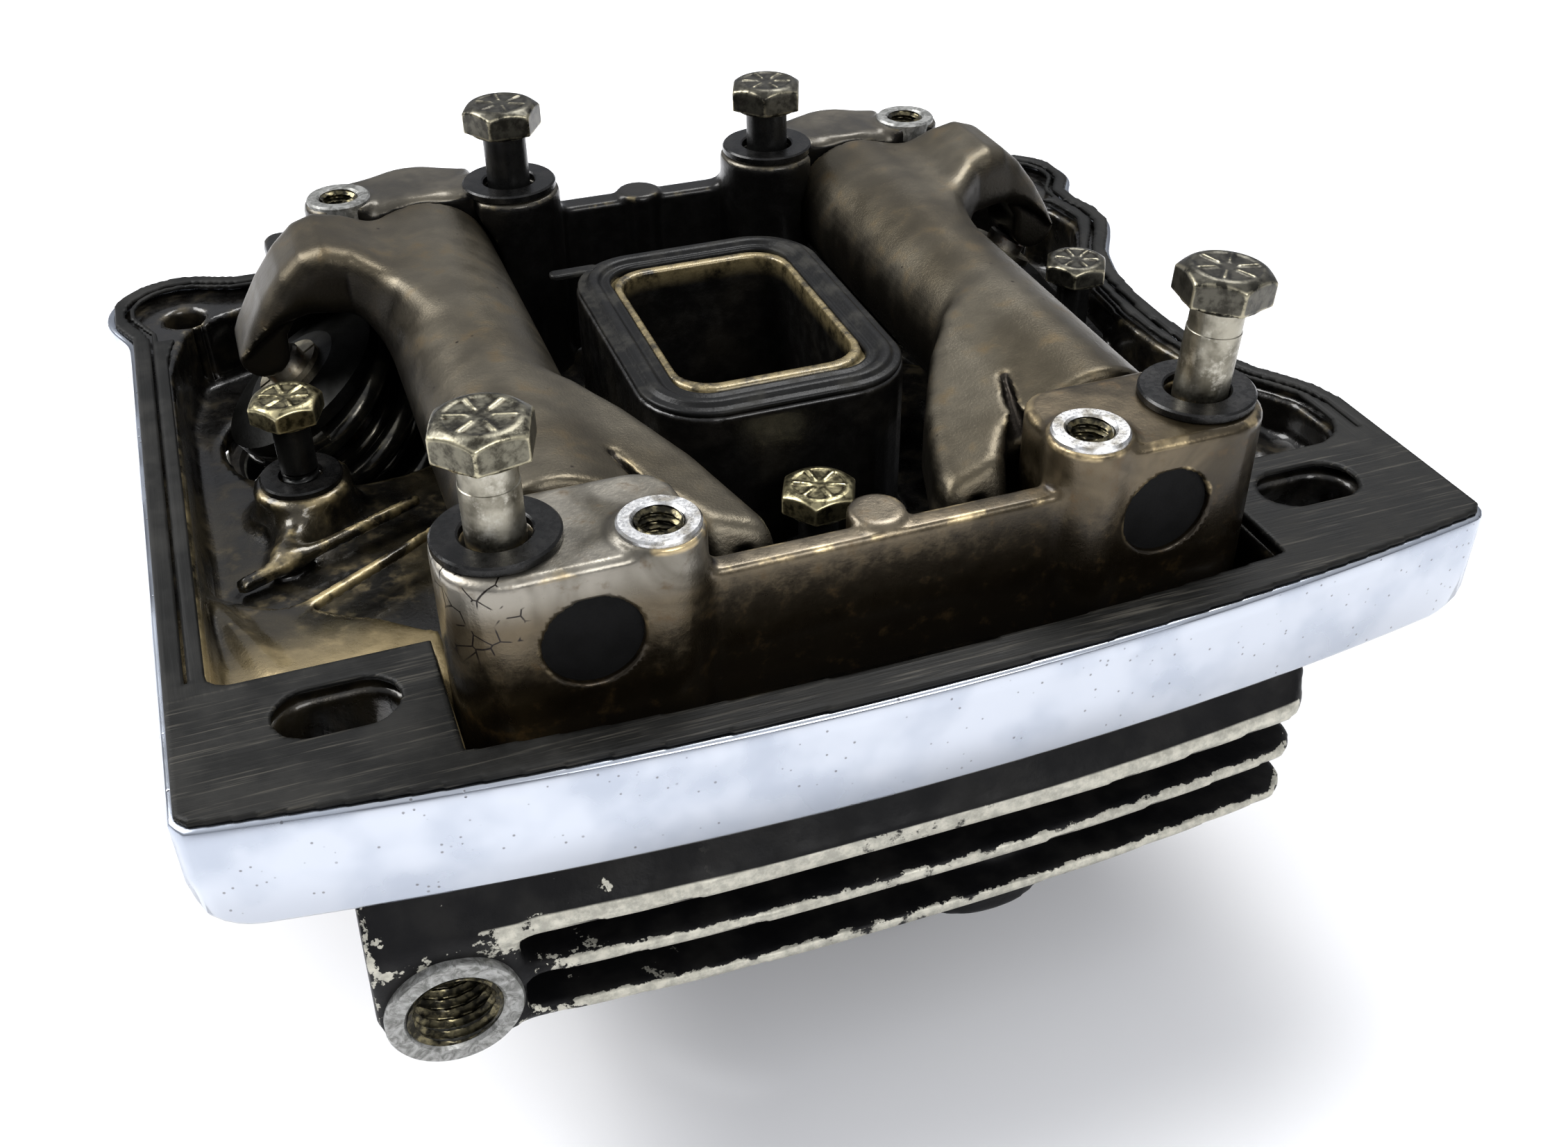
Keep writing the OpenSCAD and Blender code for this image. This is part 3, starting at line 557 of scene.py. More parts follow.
bright = Finish("cut_aluminium")
tool_marks = bright.clouds(0.5, 3, 0.6)
dirt = bright.fit(bright.clouds(3, 4, 0.65), 0.42, 0.68)
bright.bump(tool_marks, 0.05, 0.6)
cut_aluminium = bright.end(bright.mix(dirt, (0.68, 0.68, 0.68), (0.30, 0.28, 0.24)),
                           bright.fit(tool_marks, 0.3, 0.7, 0.25, 0.42), 0.95)

dull = Finish("dull_machined_aluminium")
smear = dull.clouds(2.2, 5, 0.7, (1, 1, 1), (0, 0, 0), 1.5)
dull.bump(smear, 0.06, 0.7)
dull_aluminium = dull.end(dull.mix(dull.fit(smear, 0.35, 0.65), (0.36, 0.36, 0.345), (0.13, 0.13, 0.12)),
                          0.42, 0.7)

oily = Finish("oily_thread")
glint = oily.clouds(1.2, 3)
oily.bump(glint, 0.03)
oily_thread = oily.end(oily.mix(oily.fit(glint, 0.4, 0.65), (0.022, 0.020, 0.014), (0.15, 0.13, 0.075)), 0.22,
                       0.9)

thread_tree = threaded_wall("thread", oily_thread)
ring = gathered("breather_ring",
                [turned_up([(6.9, -1.5), (9.6, -1.5), (10, -1.1), (10, 2.6), (9.7, 3), (7.4, 3), (6.9, 2.5)],
                           (breather_x, -117, breather_z), (0, -1, 0))])
dress(ring, dull_aluminium, "black_painted_alloy", "breather_boss_end")
breather_thread = gathered("breather_thread",
                           [placed(grown("breather_thread", thread_tree,
                                         {"Radius": 0.0059, "Depth": 0.0011, "Pitch": 0.00195,
    "Length": 0.021, "Rows": 170, "Columns": 65}), (breather_x, -109.5, breather_z), (0, -1, 0)),
                            turned_up([(0, 0), (7.4, 0), (7.4, -0.5), (0, -0.5)],
                                      (breather_x, -99.5, breather_z), (0, -1, 0))])
dress(breather_thread, oily_thread, "black_painted_alloy")

# ---- Seats, guides, valves and what is round them ----
# Turned steel and bronze parts pressed or slid into the head; the solids' own shapes stay and get real
# finishes.


def turned_finish(name, light, dark, roughness, metallic=1.0, tint=None, shine=0.5):
    """A turned or ground part: fine rings of tool marks, with patches of oil and stain."""
    f = Finish(name)
    marks, stain = f.clouds(0.35, 2), f.fit(f.clouds(5, 4), 0.38, 0.68)
    f.bump(marks, 0.03, 0.5)
    colour = f.mix(stain, light, dark)
    if tint:
        colour = f.mix(f.fit(f.clouds(2.4, 4, 0.7), 0.5, 0.7), colour, tint)
    return f.end(colour, f.fit(marks, 0.2, 0.8, roughness, roughness + 0.15), metallic,
                 Specular_IOR_Level=shine)


finishes = {
    "seat_alloy": turned_finish("ground_seat", (0.42, 0.41, 0.39), (0.16, 0.14, 0.12), 0.3),
    "guide_bronze": turned_finish("guide_bronze", (0.42, 0.28, 0.12), (0.16, 0.10, 0.05), 0.32),
    "valve_steel": turned_finish("valve_steel", (0.38, 0.36, 0.33), (0.06, 0.045, 0.035), 0.28,
                                 tint=(0.2, 0.11, 0.06)),
    # Painted shade: the spring collars are near black, standing in for the shade under the rocker arms.
    "collar_steel": turned_finish("collar_steel", (0.020, 0.020, 0.019), (0.010, 0.010, 0.009), 0.34),
    "keeper_steel": turned_finish("keeper_steel", (0.35, 0.32, 0.24), (0.12, 0.10, 0.07), 0.3),
    "bushing_bronze": turned_finish("bushing_bronze", (0.45, 0.30, 0.13), (0.18, 0.12, 0.06), 0.3),
    "stud_steel": turned_finish("stud_steel", (0.22, 0.18, 0.15), (0.06, 0.045, 0.035), 0.45),
    "shaft_steel": turned_finish("black_shaft_steel", (0.005, 0.005, 0.005), (0.003, 0.003, 0.003), 0.5, 0.0,
                                 shine=0.08),
}
rubber = Finish("moulded_rubber")
rubber.bump(rubber.clouds(0.6, 3), 0.05)
rubber.bump(rubber.clouds(8, 2), 0.4, 0.4)
film = rubber.fit(rubber.clouds(6, 4, 0.6), 0.45, 0.72)
finishes["seal_rubber"] = rubber.end(rubber.mix(film, (0.006, 0.006, 0.006), (0.020, 0.019, 0.016)),
                                     rubber.fit(film, 0, 1, 0.34, 0.55), Specular_IOR_Level=0.14)
fibre = Finish("pressed_fibre")
fibre.bump(fibre.clouds(0.8, 4), 0.1)
finishes["gasket_fibre"] = fibre.end(fibre.mix(fibre.fit(fibre.clouds(4, 4), 0.4, 0.7), (0.02, 0.018, 0.016),
                                               (0.07, 0.06, 0.045)), 0.7)

plain = {"seat_ring": "seat_alloy", "valve_guide": "guide_bronze", "stem_seal": "seal_rubber",
         "valve": "valve_steel", "lower_collar": "collar_steel",
         "upper_collar": "collar_steel", "keepers": "keeper_steel", "rocker_bushings": "bushing_bronze",
         "rocker_shaft": "shaft_steel"}


def refinished(node_name, finish_name):
    """Gives a finish to a solid that keeps its own shape."""
    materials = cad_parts[node_name].data.materials
    materials.clear()
    materials.append(finishes[finish_name])


for side_name in ("intake", "exhaust"):
    for node_name, finish_name in plain.items():
        refinished(f"{side_name}_{node_name}", finish_name)
for node_name, finish_name in (("base_gasket", "gasket_fibre"), ("exhaust_studs", "stud_steel")):
    refinished(node_name, finish_name)

# ---- Valve springs ----
# Two coils a valve, wound from oil-black round wire, with closed ends that lie flat. Each is a wire swept
# along a helix.
wire_black = Finish("oiled_spring_wire")
wire_black.bump(wire_black.clouds(1.0, 3), 0.03)
spring_steel = wire_black.end(wire_black.mix(wire_black.fit(wire_black.clouds(3, 4), 0.4, 0.7),
                                             (0.040, 0.039, 0.036), (0.13, 0.12, 0.095)),
                              0.2, 0.9)
spring_tree = bpy.data.node_groups.new("valve_spring", "GeometryNodeTree")
for title, value in (("Radius", 0.0148), ("Wire", 0.0021), ("Height", 0.0277), ("Turns", 4.75)):
    spring_tree.interface.new_socket(title, in_out="INPUT",
                                     socket_type="NodeSocketFloat").default_value = value
spring_tree.interface.new_socket("Geometry", in_out="OUTPUT", socket_type="NodeSocketGeometry")

given = spring_tree.nodes.new("NodeGroupInput")
line = spring_tree.nodes.new("GeometryNodeCurvePrimitiveLine")
resample = spring_tree.nodes.new("GeometryNodeResampleCurve")
resample.inputs["Count"].default_value = 240
along = spring_tree.nodes.new("GeometryNodeSplineParameter").outputs["Factor"]
turned = tree_math(spring_tree, "MULTIPLY", along, given.outputs["Turns"])
climb = tree_math(spring_tree, "DIVIDE", tree_math(spring_tree, "SUBTRACT", turned, 0.8),
                  tree_math(spring_tree, "SUBTRACT", given.outputs["Turns"], 1.6))
climb = tree_math(spring_tree, "MINIMUM", tree_math(spring_tree, "MAXIMUM", climb, 0.0), 1.0)
round_about = tree_math(spring_tree, "MULTIPLY", turned, 2 * math.pi)
spot = spring_tree.nodes.new("ShaderNodeCombineXYZ")
for i, v in enumerate((tree_math(spring_tree, "MULTIPLY", tree_math(spring_tree, "COSINE", round_about),
                                 given.outputs["Radius"]),
                       tree_math(spring_tree, "MULTIPLY", tree_math(spring_tree, "SINE", round_about),
                                 given.outputs["Radius"]),
                       tree_math(spring_tree, "MULTIPLY", climb, given.outputs["Height"]))):
    spring_tree.links.new(v, spot.inputs[i])
move, circle, sweep, real, coat, out_node = (spring_tree.nodes.new(n) for n in (
    "GeometryNodeSetPosition", "GeometryNodeCurvePrimitiveCircle", "GeometryNodeCurveToMesh",
    "GeometryNodeRealizeInstances",
    "GeometryNodeSetMaterial", "NodeGroupOutput"))
circle.inputs["Resolution"].default_value = 18
sweep.inputs["Fill Caps"].default_value = True
for a, b in ((line.outputs[0], resample.inputs[0]), (resample.outputs[0], move.inputs[0]),
             (spot.outputs[0], move.inputs["Position"]),
             (given.outputs["Wire"], circle.inputs["Radius"]), (move.outputs[0], sweep.inputs["Curve"]),
             (circle.outputs[0], sweep.inputs["Profile Curve"]),
             (sweep.outputs[0], real.inputs[0]), (real.outputs[0], coat.inputs[0]),
             (coat.outputs[0], out_node.inputs[0])):
    spring_tree.links.new(a, b)
coat.inputs["Material"].default_value = spring_steel
for side, side_name in ((-1, "intake"), (1, "exhaust")):
    way = Vector(on_valve(side, 1) - on_valve(side, 0))
    for kind, radius, wire, turns in (("outer_spring", 14.8, 2.1, 4.75), ("inner_spring", 10.6, 1.5, 6)):
        values = {"Radius": radius * 0.001, "Wire": wire * 0.001, "Height": (31.9 - 2 * wire) * 0.001,
                  "Turns": turns}
        coil = gathered(f"{side_name}_{kind}_coil",
                        [placed(grown("coil", spring_tree, values), on_valve(side, 98.05 + wire), way)])
        dress(coil, spring_steel, "spring_steel", f"{side_name}_{kind}")
        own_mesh(coil)

# ---- Lower rocker box ----
# One aluminium casting: a shallow tray with a wide machined rim, floor ledges, a tower for the breather and
# two bridges that carry the rocker shafts. Chromed outside, bare inside and stained brown by hot oil, near
# black to the back and right, with painted shade in each front slot.
stained = Finish("oil_stained_casting")
crest = stained.edge()
big, mid, fine = stained.clouds(22, 3, 0.6, twist=1.0), stained.clouds(5, 4, 0.6), stained.clouds(0.7, 3, 0.6)
gold = stained.mix(stained.fit(big, 0.38, 0.62), (0.010, 0.009, 0.007), (0.055, 0.044, 0.024))
gold = stained.mix(stained.fit(mid, 0.52, 0.75), gold, (0.13, 0.100, 0.050))
# The front left ledge is lightest; to the back and right the floor goes near black; front slot walls are
# painted shade
ledge = stained.times(stained.fit(stained.where(1), -0.066, -0.084),
                      stained.fit(stained.where(0), -0.040, -0.060))
gold = stained.mix(stained.times(ledge, stained.fit(big, 0.3, 0.5)), gold, (0.40, 0.31, 0.16))
worn_edge = stained.times(stained.fit(crest, 0.12, 0.45), stained.fit(mid, 0.40, 0.6))
gold = stained.mix(worn_edge, gold, (0.38, 0.30, 0.15))
gold = stained.mix(stained.fit(crest, -0.05, -0.35), gold, (0.004, 0.003, 0.002))
near_black_and_shade = stained.most(stained.fit(stained.where(1), -0.040, -0.005),
                     stained.fit(stained.where(0), -0.045, 0.005))
# Painted shade: the walls of each front slot turn near black.
painted_slot_shade = stained.times(stained.fit(stained.where(1), -0.0925, -0.0935),
                      stained.fit(stained.math("ABSOLUTE", stained.where(0)), 0.0655, 0.0665))
near_black_and_shade = stained.most(stained.times(near_black_and_shade, stained.fit(mid, 0.62, 0.45, 0.72, 0.95)),
                     stained.times(painted_slot_shade, 0.95))
land = stained.times(stained.fit(stained.where(2), 0.0832, 0.0837),
                     stained.fit(stained.where(1), 0.014, 0.016))
gold = stained.mix(near_black_and_shade, gold, (0.0045, 0.004, 0.0035))
gold = stained.mix(land, gold, (0.085, 0.078, 0.062))
stained.bump(fine, 0.10, 0.7)
stained.bump(mid, 0.35, 0.5)
stained_floor = stained.end(gold, stained.fit(mid, 0.3, 0.7, 0.20, 0.45), 0.6, Coat_Weight=0.5,
                            Coat_Roughness=0.12)

box_half_w, ear = 99.5, (89.3, 29.5)
rim_outline = (arc(0, front_y + bow_r, bow_r, -99.5, -80.5, 36) + arc(box_half_w - 2, -114, 2, -60, 0, 3)
               + [(99.5, -79), (98, -73), (95, -68), (92, -64), (89.5, -58), (87.8, -50), (87, -40),
                  (87.2, -30), (88.5, -20), (91.5, -11), (96, -4),
                  (99.3, 2), (100, 9), (98.6, 15), (98.8, 20)] + arc(ear[0], ear[1] + 1, 14, -25, 120, 16)
               + [(78, 41), (-78, 41)]
               + arc(-ear[0], ear[1] + 1, 14, 60, 205, 16) + [(-99.6, 19), (-box_half_w, 13)]
               + arc(-box_half_w + 2, -114, 2, 180, 240, 3))
pocket_outline = (arc(0, front_y + bow_r, bow_r - 7.2, -96.07, -83.93, 12) + [(62, -90)]
                  + arc(85, -82.5, 7.5, -90, 0)
                  + [(92.2, -75), (86.5, -66), (83, -57), (80.8, -47), (80, -36), (81.5, -20), (85, -9),
                     (90, 0), (92.6, 6), (91.5, 14), (88, 19)]
                  + arc(83, 20, 7, 0, 60, 4) + [(76, 30.5), (70, 33), (-70, 33), (-76, 30.5)]
                  + arc(-83, 20, 7, 120, 180, 4)
                  + [(-91.5, 14), (-92.6, 8)] + arc(-89.6, -87, 3, 180, 270, 3) + [(-62, -90)])
end_profile = ([(99.2, 84), (-99.2, 84), (-98.6, 76)] + arc(-91.5, 75, 7.4, 180, 270)
               + arc(91.5, 75, 7.4, 270, 360) + [(98.6, 76)])
front_boss = (arc(32, -104.9, 5.6, 180, 270) + arc(53, -102, 8.5, 270, 360) + arc(53, -98.5, 8.5, 0, 90)
              + arc(33, -96, 6, 90, 180))
back_boss = (arc(28.5, 14.5, 2, 180, 270, 2) + arc(55, 18.6, 6, 270, 360) + arc(53, 23, 8, 0, 90)
             + arc(43, 23, 8, 90, 150, 4))
front_thread, back_thread, slot_at, shaft_at = (32, -105.1), (57.2, 17.6), (76.8, -100.3), (43.1, 94)


def slot_outline(side):
    """The long hole near a front corner."""
    return (arc(side * slot_at[0] + 3.5, slot_at[1], 5, -90, 90, 10)
            + arc(side * slot_at[0] - 3.5, slot_at[1], 5, 90, 270, 10))


def bored_openings(c):
    """The holes and wells that pass through the box's castings."""
    c.cut(c.slab(cornered(-15, -61.6, 15, -19.7, 6), 60, 120))
    for side in (-1, 1):
        left, right = sorted((side * 8.6, side * 26.4))
        c.cut(c.slab(cornered(left, -103.8, right, -85, 5), 60, 84))
        c.cut(c.rod((side * front_bolt[0], front_bolt[1], 60), (side * front_bolt[0], front_bolt[1], 120),
                    4.8), 0.6)
        c.cut(c.rod((side * back_bolt[0], back_bolt[1], 60), (side * back_bolt[0], back_bolt[1], 120), 4.8),
              0.6)
        c.cut(c.rod((side * floor_bolt[0], floor_bolt[1], 60), (side * floor_bolt[0], floor_bolt[1], 90),
                    3.6), 0.4)
        for at in (front_thread, back_thread):
            c.cut(c.rod((side * at[0], at[1], 92), (side * at[0], at[1], 120), 3.7), 0.3)
        c.cut(c.rod((side * shaft_at[0], 26, 94), (side * shaft_at[0], -119, 94), 7))
        c.cut(c.rod((side * shaft_at[0], 12.5, 94), (side * shaft_at[0], -89.9, 94), 13.1))
        c.cut(c.rod(on_valve(side, 90), on_valve(side, 137), 18.3), 1.0)
    c.cut(c.rod((*middle_bolt, 60), (*middle_bolt, 90), 3.6))


tray = Casting((-102, -127, 63), (102, 46, 86), 0.95)
outer_wall = tray.slab(rim_outline, 64.8, 83.95, 0.4) + 1.2
front_half = np.maximum(outer_wall, tray.slab(end_profile, -140, 8, 0, "y"))
tray.join(np.maximum(outer_wall, np.where(tray.y > 7, 65.5 - tray.z, front_half)))
tray.join(tray.slab(flange_outline, 65.0, 68))
tray.cut(tray.slab(pocket_outline, 69, 100, 2.5), 0.5)
for side in (-1, 1):
    tray.join(tray.rod((side * floor_bolt[0], floor_bolt[1], 66), (side * floor_bolt[0], floor_bolt[1], 76),
                       8.4, 0.8), 4)
    tray.join(tray.slab(sided(front_boss, side), 66, 72, 0.5), 3)
    tray.join(tray.slab(sided(back_boss, side), 66, 72, 0.5), 3)
    # Front ledge, its raised bead, and two ribs across the pocket
    ledge = [(59, -94), (94, -94), (94, -50), (91, -52), (85, -57), (78.5, -60.5), (70, -67), (60, -76)]
    tray.join(np.maximum(tray.slab(sided(ledge, side), 66, 76, 1), tray.z - 73.5 - 0.12 * (-60 - tray.y)), 3)
    tray.join(tray.limb((side * 91.5, -57, 73.2), (side * 84.5, -78, 74.4), 1.7, 1.4), 2.5)
    tray.join(tray.limb((side * 79, -60.5, 72.6), (side * 55, -46.5, 73.6), 1.2, 1.0), 1.2)
    tray.join(tray.limb((side * 87, -48, 71.2), (side * 57, -35.5, 72.8), 1.4, 1.1), 1.2)
    tray.join(tray.limb((side * 76, -34, 70), (side * 80, -42, 71.5), 3.4, 2.0), 4)
tray.join(tray.rod((*middle_bolt, 66), (*middle_bolt, 76), 7.4, 0.8), 3)
tray.join(tray.slab(cornered(-22.5, -71, 22.5, -10.5, 12), 66, 74), 3)
shelf = arc(0, front_y + bow_r, bow_r - 6.5, -96, -84, 12) + [(60.5, -105), (-60.5, -105)]
tray.join(np.maximum(tray.slab(shelf, 66, 79, 1.2), tray.z - 79 + 0.25 * (tray.y + 118)), 2)
tray.join(np.maximum(tray.slab(cornered(-60, 15, 60, 34, 1), 66, 83.9), -tray.z + 60), 0)
tray.metal = np.maximum(tray.metal, outer_wall)
for side in (-1, 1):
    tray.cut(tray.slab(slot_outline(side), 60, 90))
    tray.cut(tray.rod((side * ear[0], ear[1], 60), (side * ear[0], ear[1], 90), 3.8), 0.4)
bored_openings(tray)
for side in (-1, 1):
    tray.cut(np.maximum(tray.rod(on_valve(side, 90), on_valve(side, 140), 20.5), tray.z - 71))
dress(tray.skin("rocker_box_tray"), stained_floor, "chromed_alloy", "lower_rocker_box")

# The two bridges: bosses with rounded corners joined by a thin wall, satin from handling and hot oil
satin = Finish("satin_oiled_casting")
crest, big, mid, fine = (satin.edge(), satin.clouds(16, 3, 0.6, twist=0.8), satin.clouds(3.5, 4, 0.62),
                         satin.clouds(0.6, 3, 0.6))
silver = satin.mix(satin.fit(big, 0.36, 0.64), (0.085, 0.075, 0.055), (0.27, 0.25, 0.21))
bronze = satin.mix(satin.fit(big, 0.36, 0.64), (0.035, 0.026, 0.013), (0.11, 0.085, 0.050))
tone = satin.mix(satin.fit(satin.where(2), 0.098, 0.104), bronze, silver)
tone = satin.mix(satin.fit(satin.where(0), -0.02, 0.03), tone, bronze)
# Painted shade: below about 100 mm the front bridge turns near black, on the left boss from about 95 mm down.
level = satin.plus(satin.where(2), satin.fit(mid, 0.3, 0.7, -0.0025, 0.0025))
low = satin.fit(satin.plus(level, satin.fit(satin.where(0), -0.0295, -0.0305, 0, 0.005)), 0.1000, 0.0925)
tone = satin.mix(satin.times(low, 0.93), tone, (0.016, 0.011, 0.005))
tone = satin.mix(satin.fit(mid, 0.55, 0.8), tone, (0.085, 0.052, 0.020))
tone = satin.mix(satin.fit(crest, -0.06, -0.3), tone, (0.010, 0.007, 0.005))
rubbed = satin.times(satin.fit(crest, 0.20, 0.5), satin.fit(satin.clouds(6, 4), 0.48, 0.62))
tone = satin.mix(satin.times(rubbed, satin.fit(satin.where(2), 0.088, 0.097)), tone, (0.55, 0.43, 0.24))
vein = satin.node("TexVoronoi", feature="DISTANCE_TO_EDGE")
satin.put(vein.inputs["Vector"], satin.place)
satin.put(vein.inputs["Scale"], 330)
crazed = satin.times(satin.fit(vein.outputs["Distance"], 0.05, 0.02),
                     satin.fit(satin.clouds(5, 2), 0.50, 0.54))
corner = satin.times(satin.fit(satin.where(2), 0.092, 0.095), satin.fit(satin.where(0), -0.0505, -0.0525))
tone = satin.mix(satin.times(crazed, corner), tone, (0.01, 0.006, 0.004))
satin.bump(fine, 0.07, 0.6)
satin.bump(mid, 0.15, 0.35)
satin_casting = satin.end(tone, satin.fit(mid, 0.3, 0.7, 0.27, 0.42), 0.8, Coat_Weight=0.25,
                          Coat_Roughness=0.2)

front = Casting((-66, -114, 64), (66, -86, 110), 0.6)
front.join(front.slab([(-29, -108.6), (29, -108.6), (29, -104.6), (-29, -104.6)], 66, 99.5, 0.9))
front.join(front.rod((0, -103.2, 66), (0, -103.2, 100.3), 4.3, 0.8), 0.8)
for side in (-1, 1):
    front.join(front.slab(sided(front_boss, side), 66, 106, 1.3), 2.5)
    front.join(front.rod((side * 32, -105.1, 66), (side * 32, -105.1, 106.8), 6.3, 0.6), 1.2)
bored_openings(front)
front.metal = np.maximum(front.metal, 66.5 - front.z)
dress(front.skin("front_boss_bridge_casting"), satin_casting, "stained_alloy", "front_boss_bridge")

dark_satin = Finish("dark_oiled_casting")
crest, big, mid, fine = (dark_satin.edge(), dark_satin.clouds(14, 3), dark_satin.clouds(3, 4, 0.62),
                         dark_satin.clouds(0.6, 3))
tone = dark_satin.mix(dark_satin.fit(big, 0.4, 0.66), (0.050, 0.044, 0.033), (0.10, 0.088, 0.066))
# Painted shade: the back bridge below about 104 mm, and its faces that do not face up, turn near black.
near_black_and_shade = dark_satin.most(dark_satin.fit(dark_satin.where(2), 0.1045, 0.099),
                        dark_satin.fit(dark_satin.faces(2), 0.55, 0.1))
tone = dark_satin.mix(near_black_and_shade, tone, (0.006, 0.0055, 0.005))
tone = dark_satin.mix(dark_satin.times(dark_satin.fit(crest, 0.25, 0.6), dark_satin.fit(mid, 0.5, 0.7)), tone,
                      (0.16, 0.13, 0.07))
dark_satin.bump(fine, 0.07, 0.6)
dark_satin.bump(mid, 0.2, 0.4)
dark_casting = dark_satin.end(tone, dark_satin.fit(mid, 0.3, 0.7, 0.3, 0.45), 0.7, Coat_Weight=0.2,
                              Coat_Roughness=0.2)

back = Casting((-76, -6, 64), (76, 40, 110), 0.62)
back.join(back.slab([(-26, 15), (26, 15), (26, 20), (-26, 20)], 66, 99.5, 0.8))
back.join(back.rod((0, 17.6, 66), (0, 17.6, 100.3), 4.3, 0.7), 0.8)
for side in (-1, 1):
    x = side * shaft_at[0]
    back.join(back.rod((x, 12.6, 94), (x, 29.5, 94), 12.6, 2), 1)
    back.join(back.slab(sided(back_boss, side), 66, 103, 1.2), 3)
    back.join(back.rod((side * 25.9, 14.2, 66), (side * 25.9, 14.2, 106), 9.3, 1.0), 3)
    back.join(back.slab([(x - 12, 13.5), (x + 12, 13.5), (x + 12, 28), (x - 12, 28)], 84, 106, 2), 4)
    back.join(back.rod((side * 57.2, 17.6, 66), (side * 57.2, 17.6, 106.8), 6.4, 0.7), 1.5)
    back.join(back.slab(sided(cornered(61, 11.6, 72, 24, 3), side), 66, 100, 1.5), 1.5)
    back.join(back.slab(sided(cornered(18, 15, 60, 32.6, 1), side), 66, 92, 2), 3)
    # Room for the rocker arm's end and hook to swing
    back.cut(back.slab(sided([(33, -30), (84, -30), (84, 12.4), (33, 12.4)], side), 76, 120))
back.metal = np.maximum(back.metal, back.z - 107.0)
bored_openings(back)
back.metal = np.maximum(back.metal, 66.5 - back.z)
dress(back.skin("back_boss_bridge_casting"), dark_casting, "stained_alloy", "back_boss_bridge")

tower = Casting((-25, -73, 64), (25, -8, 103), 0.55)
tower.join(tower.slab(cornered(-22.5, -71, 22.5, -10.5, 12), 66, 99.5, 0.5))
tower.join(tower.slab(cornered(-16.3, -63.9, 16.3, -17.7, 7), 90, 100.6, 0.4))
bored_openings(tower)
tower.metal = np.maximum(tower.metal, 66.5 - tower.z)
lip = Finish("tower_casting")
crest, mid = lip.edge(), lip.clouds(3, 4, 0.65)
tone = lip.mix(lip.fit(lip.clouds(12, 3), 0.45, 0.7), (0.005, 0.0045, 0.004), (0.014, 0.012, 0.009))
across = lip.most(lip.math("ABSOLUTE", lip.where(0)),
                  lip.plus(lip.math("ABSOLUTE", lip.plus(lip.where(1), 0.0408)), -0.0068))
rim_gold = lip.times(lip.fit(lip.where(2), 0.0965, 0.1),
                     lip.times(lip.fit(mid, 0.25, 0.6), lip.fit(across, 0.0166, 0.0160)))
tone = lip.mix(rim_gold, tone, (0.21, 0.165, 0.08))
lip.bump(lip.clouds(0.7, 3), 0.08)
lip.bump(lip.clouds(9, 2), 0.6, 0.5)
tower_casting = lip.end(tone, lip.fit(mid, 0.3, 0.7, 0.26, 0.45), 0.5, Coat_Weight=0.3, Coat_Roughness=0.15)
dress(tower.skin("breather_tower_casting"), tower_casting, "stained_alloy", "breather_tower")

# ---- Chromed skirt ----
# The plated outer wall of the box: upright, with a crisp top lip and ends rounded up at the front corners.
# The plate is hazed, with small pits and a few brown spots.
chrome = Finish("hazed_chrome_plate")
haze, cloud = chrome.clouds(15, 3, 0.5), chrome.clouds(3, 4, 0.65)
pit_gap, pit_cell = chrome.specks(1.3)
pits = chrome.times(chrome.fit(pit_gap, 0.20, 0.10),
                    chrome.fit(chrome.node("SeparateColor", pit_cell).outputs[0], 0.72, 0.78))
spot_gap, spot_cell = chrome.specks(24)
brown = chrome.times(chrome.fit(chrome.plus(spot_gap, chrome.times(cloud, 0.2)), 0.22, 0.14),
                    chrome.fit(chrome.node("SeparateColor", spot_cell).outputs[1], 0.83, 0.86))
plate = chrome.mix(chrome.fit(haze, 0.42, 0.66), (0.50, 0.53, 0.585), (0.405, 0.44, 0.505))
plate = chrome.mix(chrome.times(pits, 0.7), plate, (0.13, 0.12, 0.12))
plate = chrome.mix(brown, plate, (0.30, 0.26, 0.20))
chrome.bump(chrome.clouds(9, 3), 0.05, 0.5)
chrome.bump(pits, -0.05, 0.5)
chrome_plate = chrome.end(plate, chrome.fit(haze, 0.35, 0.7, 0.14, 0.32), 1.0)


def lofted(name, rows):
    """A closed skin through closed rows of points, all of one count; the last row joins the first."""
    n, m = len(rows[0]), len(rows)
    points = [p for row in rows for p in row]
    faces = [(j * n + i, j * n + (i + 1) % n, ((j + 1) % m) * n + (i + 1) % n, ((j + 1) % m) * n + i)
             for j in range(m) for i in range(n)]
    return made(name, points, faces)


def evened(outline, gap):
    """The same closed outline with its points about gap millimetres apart."""
    points = np.array(outline + outline[:1], float)
    runs = np.concatenate(([0], np.cumsum(np.linalg.norm(np.diff(points, axis=0), axis=1))))
    at = np.arange(0, runs[-1] - gap / 2, runs[-1] / round(runs[-1] / gap))
    return np.stack([np.interp(at, runs, points[:, k]) for k in (0, 1)], 1)


def moved_in(points, inset):
    """Moves a closed counter-clockwise outline inwards by inset."""
    way = np.roll(points, -1, 0) - np.roll(points, 1, 0)
    way /= np.linalg.norm(way, axis=1)[:, None]
    return points + np.stack([-way[:, 1], way[:, 0]], 1) * inset


rim_line = evened(rim_outline, 1.6)
for _ in range(2):
    smooth = (np.roll(rim_line, 1, 0) + 2 * rim_line + np.roll(rim_line, -1, 0)) / 4
    sharp = (rim_line[:, 1] < -100) & (np.abs(rim_line[:, 0]) > 90)
    rim_line = np.where(sharp[:, None], rim_line, smooth)


def skirt_foot(points, lift=0.0):
    """Height of the skirt's lower edge: low along the front, rounded up at the two ends."""
    x, y = np.abs(points[:, 0]), points[:, 1]
    end = np.where(x > 91.5, 74 - np.sqrt(np.maximum(64 - (np.minimum(x, 99.4) - 91.5) ** 2, 0)), 66)
    share = np.clip((y - 4) / 5, 0, 1)
    return end * (1 - share) + 66 * share + lift


